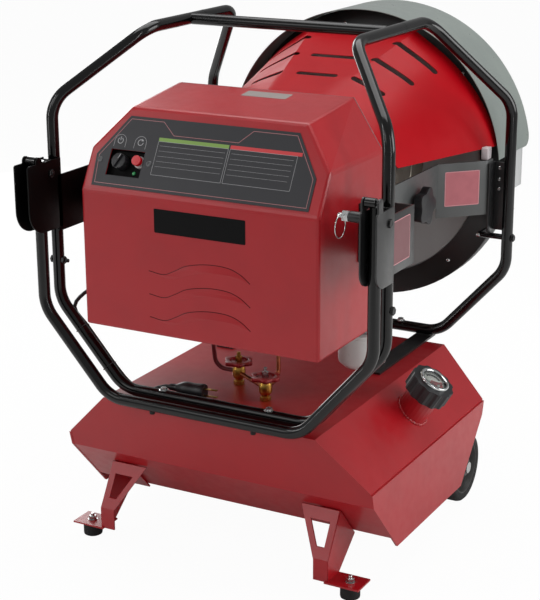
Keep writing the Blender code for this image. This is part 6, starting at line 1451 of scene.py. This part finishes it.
@dataclass
class ControlPanel:
    """The printed overlay with its blank fields, symbols, screws, lamps, knob and button."""

    film_top: float = 1.1
    outline: Outline = ((-207, 9), (205, 9), (205, 64), (158, 136), (-163, 136), (-212, 64))
    heading_step: Outline = ((75, 131), (52, 109), (-71, 109), (-96, 131))
    rules: Spot = (89, 80, 71, 62, 53)
    screws: Outline = ((-202.4, 54.7), (-105.3, 56.0))
    screw: Outline = ((5.2, 0), (5.2, 0.6), (4.4, 1.3), (2.4, 1.4), (2.0, 0.5))
    collar: Outline = ((5.4, -8.8), (10.3, -8.8), (10.3, -5.5), (9.7, -4.8), (5.4, -4.8))
    lens: Outline = ((3.4, -2.5), (3.4, -1), (2.6, -0.2), (1.4, 0.3))
    knob_spot: Spot = (-162, 54.5)
    knob_turn: float = -24 * DEG
    collar_spot: Spot = (-128.5, 58.5)
    lamps: tuple = (("green", -136, GREEN_LED), ("red", -121, RED_LED))
    rule_line: float = 0.35

    def shape(self, name: str, outline: Outline, finish: Finish, holes: Sequence[Outline] = ()) -> None:
        """Print one flat shape, with its open places, on the film."""
        dress(Bench.flat(name, outline, 0.18, PANEL @ moved(0, 0, self.film_top - 0.05), holes=holes), finish)

    def bar(self, name: str, low: Spot, high: Spot, finish: Finish, corner: float = 0.8) -> None:
        """Print a filled field between two corners."""
        self.shape(name, rounded_outline(low, high, corner), finish)

    def frame(self, name: str, low: Spot, high: Spot, line: float) -> None:
        """Print a thin empty frame between two corners."""
        inner = rounded_outline((low[0] + line, low[1] + line), (high[0] - line, high[1] - line), 1.0)
        self.shape(name, rounded_outline(low, high, 1.4), PRINT_GREY, [inner])

    def build(self) -> None:
        """Print the film and fit the parts of the panel."""
        border = inset(self.outline, 5.0)
        border[4:4] = self.heading_step
        self.shape("print_border", border, PRINT_PINK, [inset(border, 0.8)])
        self.sign("power", -171.6, 118, 422)
        self.bar("print_power_stroke", (-172.2, 91.5), (-171.0, 98.2), PRINT_GREY, 0.3)
        self.sign("reset", -131.6, 60, 360)
        x, u = arc(5.0, 60, 60, 1, (-131.6, 91))[0]
        self.shape("print_reset_arrow", [(x - 0.4, u + 2.3), (x + 3.4, u - 1.2), (x - 1.4, u - 1.9)], PRINT_GREY)
        self.bar("print_green_bar", (-97.5, 97.0), (36.8, 103.2), PRINT_GREEN)
        self.frame("print_green_frame", (-97.5, 38.0), (36.8, 97.0), 0.55)
        self.bar("print_red_bar", (39.7, 97.0), (171.5, 103.2), PRINT_RED)
        self.frame("print_red_frame", (39.7, 38.0), (164.0, 97.0), 0.55)
        for index, u in enumerate(self.rules):
            self.bar(f"print_rule_left_{index}", (-93, u), (32, u + self.rule_line), PRINT_GREY, 0.15)
            self.bar(f"print_rule_right_{index}", (44, u), (159 - index * 0.8, u + self.rule_line), PRINT_GREY, 0.15)
        for index, (x, u) in enumerate(self.screws):
            place = PANEL @ moved(x, u, self.film_top - 0.1)
            dress(Bench.turned(f"panel_screw_{index}", self.screw, place, 20), SCREW_HEAD)
        self.knob()
        ring = Bench.turned("button_collar", self.collar, PANEL @ moved(*self.collar_spot, 0), 40, ring=True)
        dress(ring, PALE_COLLAR, "reset_collar")
        lamp_top = max(p.z for p in self.points("control_board", PANEL)) / MM
        for name, x, finish in self.lamps:
            dress(Bench.turned(f"lamp_{name}", self.lens, PANEL @ moved(x, 39, lamp_top), 20, angle=60), finish)

    def sign(self, name: str, x: float, start: float, end: float) -> None:
        """Print an arched frame with an open ring in it.

        Args:
            name: Name of the sign.
            x: Its middle.
            start: Where the ring starts, in degrees.
            end: Where the ring ends.
        """
        arch = [(x + 11.5, 80.0), *arc(11.5, 0, 180, 12, (x, 90.5)), (x - 11.5, 80.0), (x - 10.9, 80.0),
                *arc(10.9, 180, 0, 12, (x, 90.5)), (x + 10.9, 80.0)]
        self.shape(f"print_arch_{name}", arch, PRINT_GREY)
        self.shape(f"print_ring_{name}", band(5.6, 4.4, start, end, 30, (x, 91)), PRINT_GREY)

    def knob(self) -> None:
        """Mould the switch knob with its ridge and its mark."""
        seat = PANEL @ moved(*self.knob_spot, 0)
        spots = self.points("switch_knob", seat)
        base = min(p.z for p in spots if math.hypot(p.x, p.y) > 12 * MM) / MM
        top = max(p.z for p in spots) / MM
        grips = [polar(13.3 - (0.6 if i % 6 in (2, 3) else 0), i * 5) for i in range(72)]
        body = Bench.flat("knob_body", grips, top - base - 4.1, seat @ moved(0, 0, base), 0.7)
        turn = Matrix.Rotation(self.knob_turn, 4, "Z")
        ridge = Bench.box("knob_ridge", mm(-1.8, -12.4, 0), mm(1.8, 12.4, 4.4), 0.9)
        Bench.settle(ridge, seat @ moved(0, 0, top - 4.5) @ turn)
        mark = Bench.box("knob_mark", mm(-0.5, 3, 0), mm(0.5, 11.5, 0.18))
        Bench.settle(mark, seat @ moved(0, 0, top - 0.2) @ turn)
        dress(Bench.join("knob_body", [body, ridge]), BLACK_ABS, "switch_knob", body="switch_knob")
        dress(mark, PRINT_GREY, body="switch_knob")

    def points(self, node: str, seat: Matrix) -> list[Vector]:
        """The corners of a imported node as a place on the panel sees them, in metres."""
        back = seat.inverted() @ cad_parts[node].matrix_world
        return [back @ corner.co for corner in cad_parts[node].data.vertices]


@dataclass
class BoxFront:
    """The pressed waves and the blank labels of the control box."""

    wave_top: Outline = ((-93.9, 540.9), (-65.1, 538.0), (-42.3, 547.3), (-19.5, 558.6), (18.9, 566.0), (57.4, 565.7),
                         (82, 557.6), (100.7, 544.3))
    wave_foot: Outline = ((-65.1, 533.6), (-43.4, 533.4), (-5.0, 546.8), (23.8, 552.0), (57.4, 552.2), (82, 547.2))
    wave_step: float = 40.4
    lid_slope: float = math.atan2(18.2, 162)

    def build(self) -> None:
        """Press the waves and stick the blank labels on."""
        upper = smooth_line([Vector((x, z, 0)) for x, z in self.wave_top], 6)
        foot = (self.wave_top[0], *self.wave_foot, self.wave_top[-1])
        lower = smooth_line([Vector((x, z, 0)) for x, z in foot], 6)
        for index in range(3):
            drop = index * self.wave_step
            spots = [(p.x, p.y - drop) for p in upper + lower[-2:0:-1]]
            dress(Bench.flat(f"pressed_wave_{index}", spots, 1.3, facing_front(-292.6), 0.55), RED_POWDER_COAT)
            # Painted shade: a thin dark red tube along the top edge of each wave stands for the shade in its crease
            crease = [at(p.x, -293.3, p.y - drop) for p in upper]
            dress(Bench.tube(f"wave_crease_{index}", crease, 0.75, 2), CREASE_SHADE)
        label = Bench.flat("front_label", rounded_outline((-81, 609), (93, 650), 2), 0.5, facing_front(-293.1))
        dress(label, BLACK_LABEL)
        place = Matrix.Translation(at(22, -101, 813.8)) @ Matrix.Rotation(self.lid_slope, 4, "X")
        dress(Bench.flat("top_sticker", rounded_outline((-43, -4), (43, 26), 2), 0.5, place), GREY_LABEL)


# Tank fittings


@dataclass
class Filler:
    """The neck with its weld, the ribbed cap and the contents gauge."""

    lean: float = 32 * DEG
    foot: Vector = field(default_factory=lambda: at(210 + 95 * 0.4684, 24, 287 - 91 * 0.4684))    # on the slope
    cap_top: float = 75.0
    card: Outline = ((21.9, 0), (21.9, 0.11))
    bands: tuple = ((20, 60, PRINT_RED), (70, 160, BLACK_LABEL), (200, 340, BLACK_LABEL))
    bezel: Outline = ((28.9, 0), (28.9, 3.2), (28.4, 4.5), (27.2, 5.4), (25.2, 5.4), (23.6, 4.9), (22.7, 4.2),
                      (22.7, 4.15), (25.8, 4.1), (25.8, 0))
    window: Outline = ((25.4, 0), (25.4, 1.7), (25.0, 1.95))

    def build(self) -> None:
        """Run the weld bead, line the dial and turn the bezel and its window."""
        axis = Vector((math.sin(self.lean), 0, math.cos(self.lean)))
        across = axis.orthogonal().normalized()
        other, slope = axis.cross(across), Vector((91, 0, 95)).normalized()
        bead = []
        for i in range(96):
            x, y = polar(30.8 + 1.0 * math.sin(i * 2.4), i * 3.75)
            edge = (across * x + other * y) * MM
            lift = (0.7 + 0.8 * math.sin(i * 1.9)) * MM - edge.dot(slope) / axis.dot(slope)
            bead.append(self.foot + edge + axis * lift)
        dress(Bench.tube("filler_weld", bead, 2.4, 3, closed=True), RED_PRESSING_COAT)
        card, dial, seat = [Bench.axis(self.foot + axis * (self.cap_top + lift) * MM, axis)
                            for lift in (-3.99, -3.9, 0.3)]
        dress(Bench.turned("dial_card", self.card, card, 40), DIAL_PAPER, body="filler_cap")
        for index, (start, end, finish) in enumerate(self.bands):
            mark = Bench.flat(f"dial_band_{index}", band(19, 14.5, start, end, 16), 0.08, dial)
            dress(mark, finish, body="filler_cap")
        ring = Bench.turned("bezel_ring", self.bezel, seat, 64, ring=True)
        dress(ring, CHROME_TRIM, "gauge_bezel", body="filler_cap")
        lens = Bench.turned("gauge_window", self.window, seat, 56)
        dress(lens, CLEAR_ACRYLIC, "gauge_lens", body="filler_cap")


@dataclass
class RunningGear:
    """The rubber feet and the two wheels."""

    foot_spot: Spot = (264, -246, 0)
    wheel_spot: Spot = (269, 215, 68)
    foot: Outline = ((14.5, 0), (16.8, 1.4), (17.4, 4), (17.4, 22), (16.6, 24.4), (15, 25.4))
    stud: Outline = ((3.7, 25), (3.7, 39.5), (2.9, 40.5))
    nut: Outline = ((6.6, 29.2), (7.4, 30), (7.4, 34.8), (6.5, 35.6))
    washer: Outline = ((9, 28.9), (9, 29.4))
    tyre: Outline = ((50.5, -17), (52, -18.4), (58.5, -18.9), (63, -18.2), (66.4, -15), (67.8, -10), (67.8, 10),
                     (66.4, 15), (63, 18.2), (58.5, 18.9), (52, 18.4), (50.5, 17))
    hub: Outline = ((6.5, -18.8), (16.6, -18.8), (17, -18.2), (17.4, -5), (46, -4), (48.6, -16.4), (49.4, -17.6),
                    (50.8, -17.6), (50.8, 17.6), (49.4, 17.6), (48.6, 16.4), (46, 4), (17.4, 5), (17, 18.2),
                    (16.6, 18.8), (6.5, 18.8))

    def build(self) -> None:
        """Mould the feet with their plated studs and nuts, and the tyres on their wheels."""
        for side in Side:
            s, word = side.value, side.word
            up, place = [Bench.axis(at(s * x, y, z), way)
                         for (x, y, z), way in ((self.foot_spot, UP), (self.wheel_spot, RIGHT))]
            dress(Bench.turned(f"rubber_foot_{word}", self.foot, up, 36), FOOT_RUBBER, f"foot_{word}")
            parts = [Bench.turned(f"foot_{name}_{word}", profile, up, steps, angle=angle)
                     for name, profile, steps, angle in (("stud", self.stud, 24, 35), ("nut", self.nut, 6, 20),
                                                         ("washer", self.washer, 28, 35))]
            dress(Bench.join(f"foot_nut_{word}", parts), ZINC_PLATE)
            wheel = f"wheel_{word}"
            dress(Bench.turned(f"tyre_{word}", self.tyre, place, 72, ring=True), WHEEL_RUBBER, wheel, body=wheel)
            dress(Bench.turned(f"wheel_body_{word}", self.hub, place, 56, ring=True), WHEEL_PLASTIC, body=wheel)


# Fuel line


@dataclass
class FuelLine:
    """The two valves on the tank, their pipes and hoses, and the filter."""

    valves: tuple = (("front", 50, -152), ("rear", -32, -102))
    pipe: float = 3.9
    bend: float = 20
    foot: Outline = ((9.9, 0), (9.9, 6), (9.0, 7), (7, 7), (7, 14.4))
    body: Outline = ((7.5, 10), (11, 14), (11.8, 18), (11.8, 29), (10, 33.6), (6, 33.8), (3.9, 34), (3.9, 38.8))
    seat_z: float = 287.4
    handle_z: float = 326.7
    filter: Spot = (176, -24)   # X and Y of the filter's axis
    handle_nut: Outline = ((5.9, 3), (5.9, 13.5), (5.0, 14.6), (3.6, 14.6), (3.6, 20.6), (2.8, 21.6))
    head: Outline = ((28, 0), (29.6, 2), (29.6, 12), (26, 20), (24, 29.8))
    can: Outline = ((29.5, 0.2), (33, 0.8), (41.6, 9), (42.8, 13), (42.8, 58), (41.8, 59), (41.8, 61), (42.8, 62),
                    (42.8, 65.2), (40, 65.8))

    def build(self) -> None:
        """Turn the valves, bend the pipes and hoses and fit the filter."""
        brass = []
        for name, x, y in self.valves:
            up = Bench.axis(at(x, y, self.seat_z), UP)
            parts = [Bench.turned(f"valve_foot_{name}", self.foot, up, 6, angle=20),
                     Bench.turned(f"valve_body_{name}", self.body, up, 32)]
            brass.append(Bench.join(f"valve_{name}", parts))
        pipes = [self.line(name, self.pipe, *route) for name, *route in (
            ("pump_pipe", (50, -150, 311.4), (50, -104, 311.4), (50, -104, 451)),
            ("link_pipe", (50, -152, 309.4), (-32, -102, 309.4)),
            ("feed_pipe", (50, -104, 415.3), (176, -104, 415.3), (*self.filter, 415.3)))]
        dress(Bench.join("copper_pipes", pipes), COPPER)
        dress(self.line("return_hose", 3.95, (-34, -102, 311.4), (-80, -102, 311.4), (-80, -126, 451)), RED_HOSE)
        dress(Bench.join("valve_bodies", brass), BRASS, "fuel_line")
        dress(Bench.turned("filter_cast_head", self.head, Bench.axis(at(*self.filter, 400.4), UP), 40), PUMP_CASTING)
        shelf = Bench.box("filter_shelf", at(142.2, -54.2, 430), at(209.8, 11.6, 433), 0.6)
        back = Bench.box("filter_shelf_back", at(143, -54.2, 431), at(209, -51.4, 463.6), 0.6)
        dress(Bench.join("filter_shelf", [shelf, back]), BLACK_SHEET_ENAMEL)
        can = Bench.turned("filter_canister", self.can, Bench.axis(at(*self.filter, 334), UP), 56)
        dress(can, WHITE_ENAMEL, "filter_can")
        for name, x, y in self.valves:
            self.handle(name, at(x, y, self.handle_z), ZINC_PLATE if name == "front" else BRASS)

    def line(self, name: str, radius: float, *route: Spot) -> Piece:
        """Bend one pipe or hose through its corners."""
        return Bench.tube(name, rounded_route([at(*p) for p in route], self.bend, 8), radius, 4)

    def handle(self, name: str, foot: Vector, metal: Finish) -> None:
        """Press one lobed handwheel and screw its nut on.

        Args:
            name: Name of the valve.
            foot: Middle of the handwheel's lower face.
            metal: The nut's finish.
        """
        rim, dish, node = lobed(27.0, 0.09, 6, 72), arc(17, 0, 355, 71), f"valve_handle_{name}"
        disc = Bench.flat(f"valve_disc_{name}", rim, 3.6, Matrix.Translation(foot), 1.1)
        lip = Bench.flat(f"valve_lip_{name}", rim, 6.8, Matrix.Translation(foot), 1.6, [dish])
        dress(Bench.join(f"valve_wheel_{name}", [disc, lip]), RED_PRESSING_COAT, node, body=node)
        nut = Bench.turned(f"valve_nut_{name}", self.handle_nut, Bench.axis(foot, UP), 6, angle=20)
        dress(nut, metal, body=node, slot="zinc_steel")


def main() -> None:
    """Dress the heater, sub-assembly by sub-assembly."""
    logging.basicConfig(level=logging.INFO, format="%(name)s: %(message)s")
    for part in (Studio(), MainsLead(), TubeFrame(), SideBracket(Side.LEFT, 334, 12, 42),
                 SideBracket(Side.RIGHT, 315, 0, 28), Plunger(), Head(), TopCover(), SidePlate(Side.LEFT),
                 SidePlate(Side.RIGHT), ClampKnob(), ControlPanel(), BoxFront(), Filler(), RunningGear(), FuelLine()):
        part.build()
    coat(RED_POWDER_COAT, "tank_shell", "filler_neck", "control_box")
    coat(RED_PRESSING_COAT, "leg_left", "leg_right")
    coat(BLACK_SHEET_ENAMEL, "base_rail_left", "base_rail_right")
    coat(ZINC_PLATE, "box_rear_panel", "axle", "blower_motor", "blower_wheel", "burner_housing")
    coat(PUMP_CASTING, "fuel_pump")
    coat(BLACK_ABS, "filler_cap", "gauge_float", "ignition_transformer")
    for finish, name in ((TRAY_ABS, "switch_panel"), (PRINT_RED, "gauge_needle"), (OVERLAY_FILM, "overlay_plate"),
                         (RED_BUTTON_PLASTIC, "reset_button"), (BOARD_GREEN, "control_board")):
        coat(finish, name)


if __name__ == "__main__":
    main()
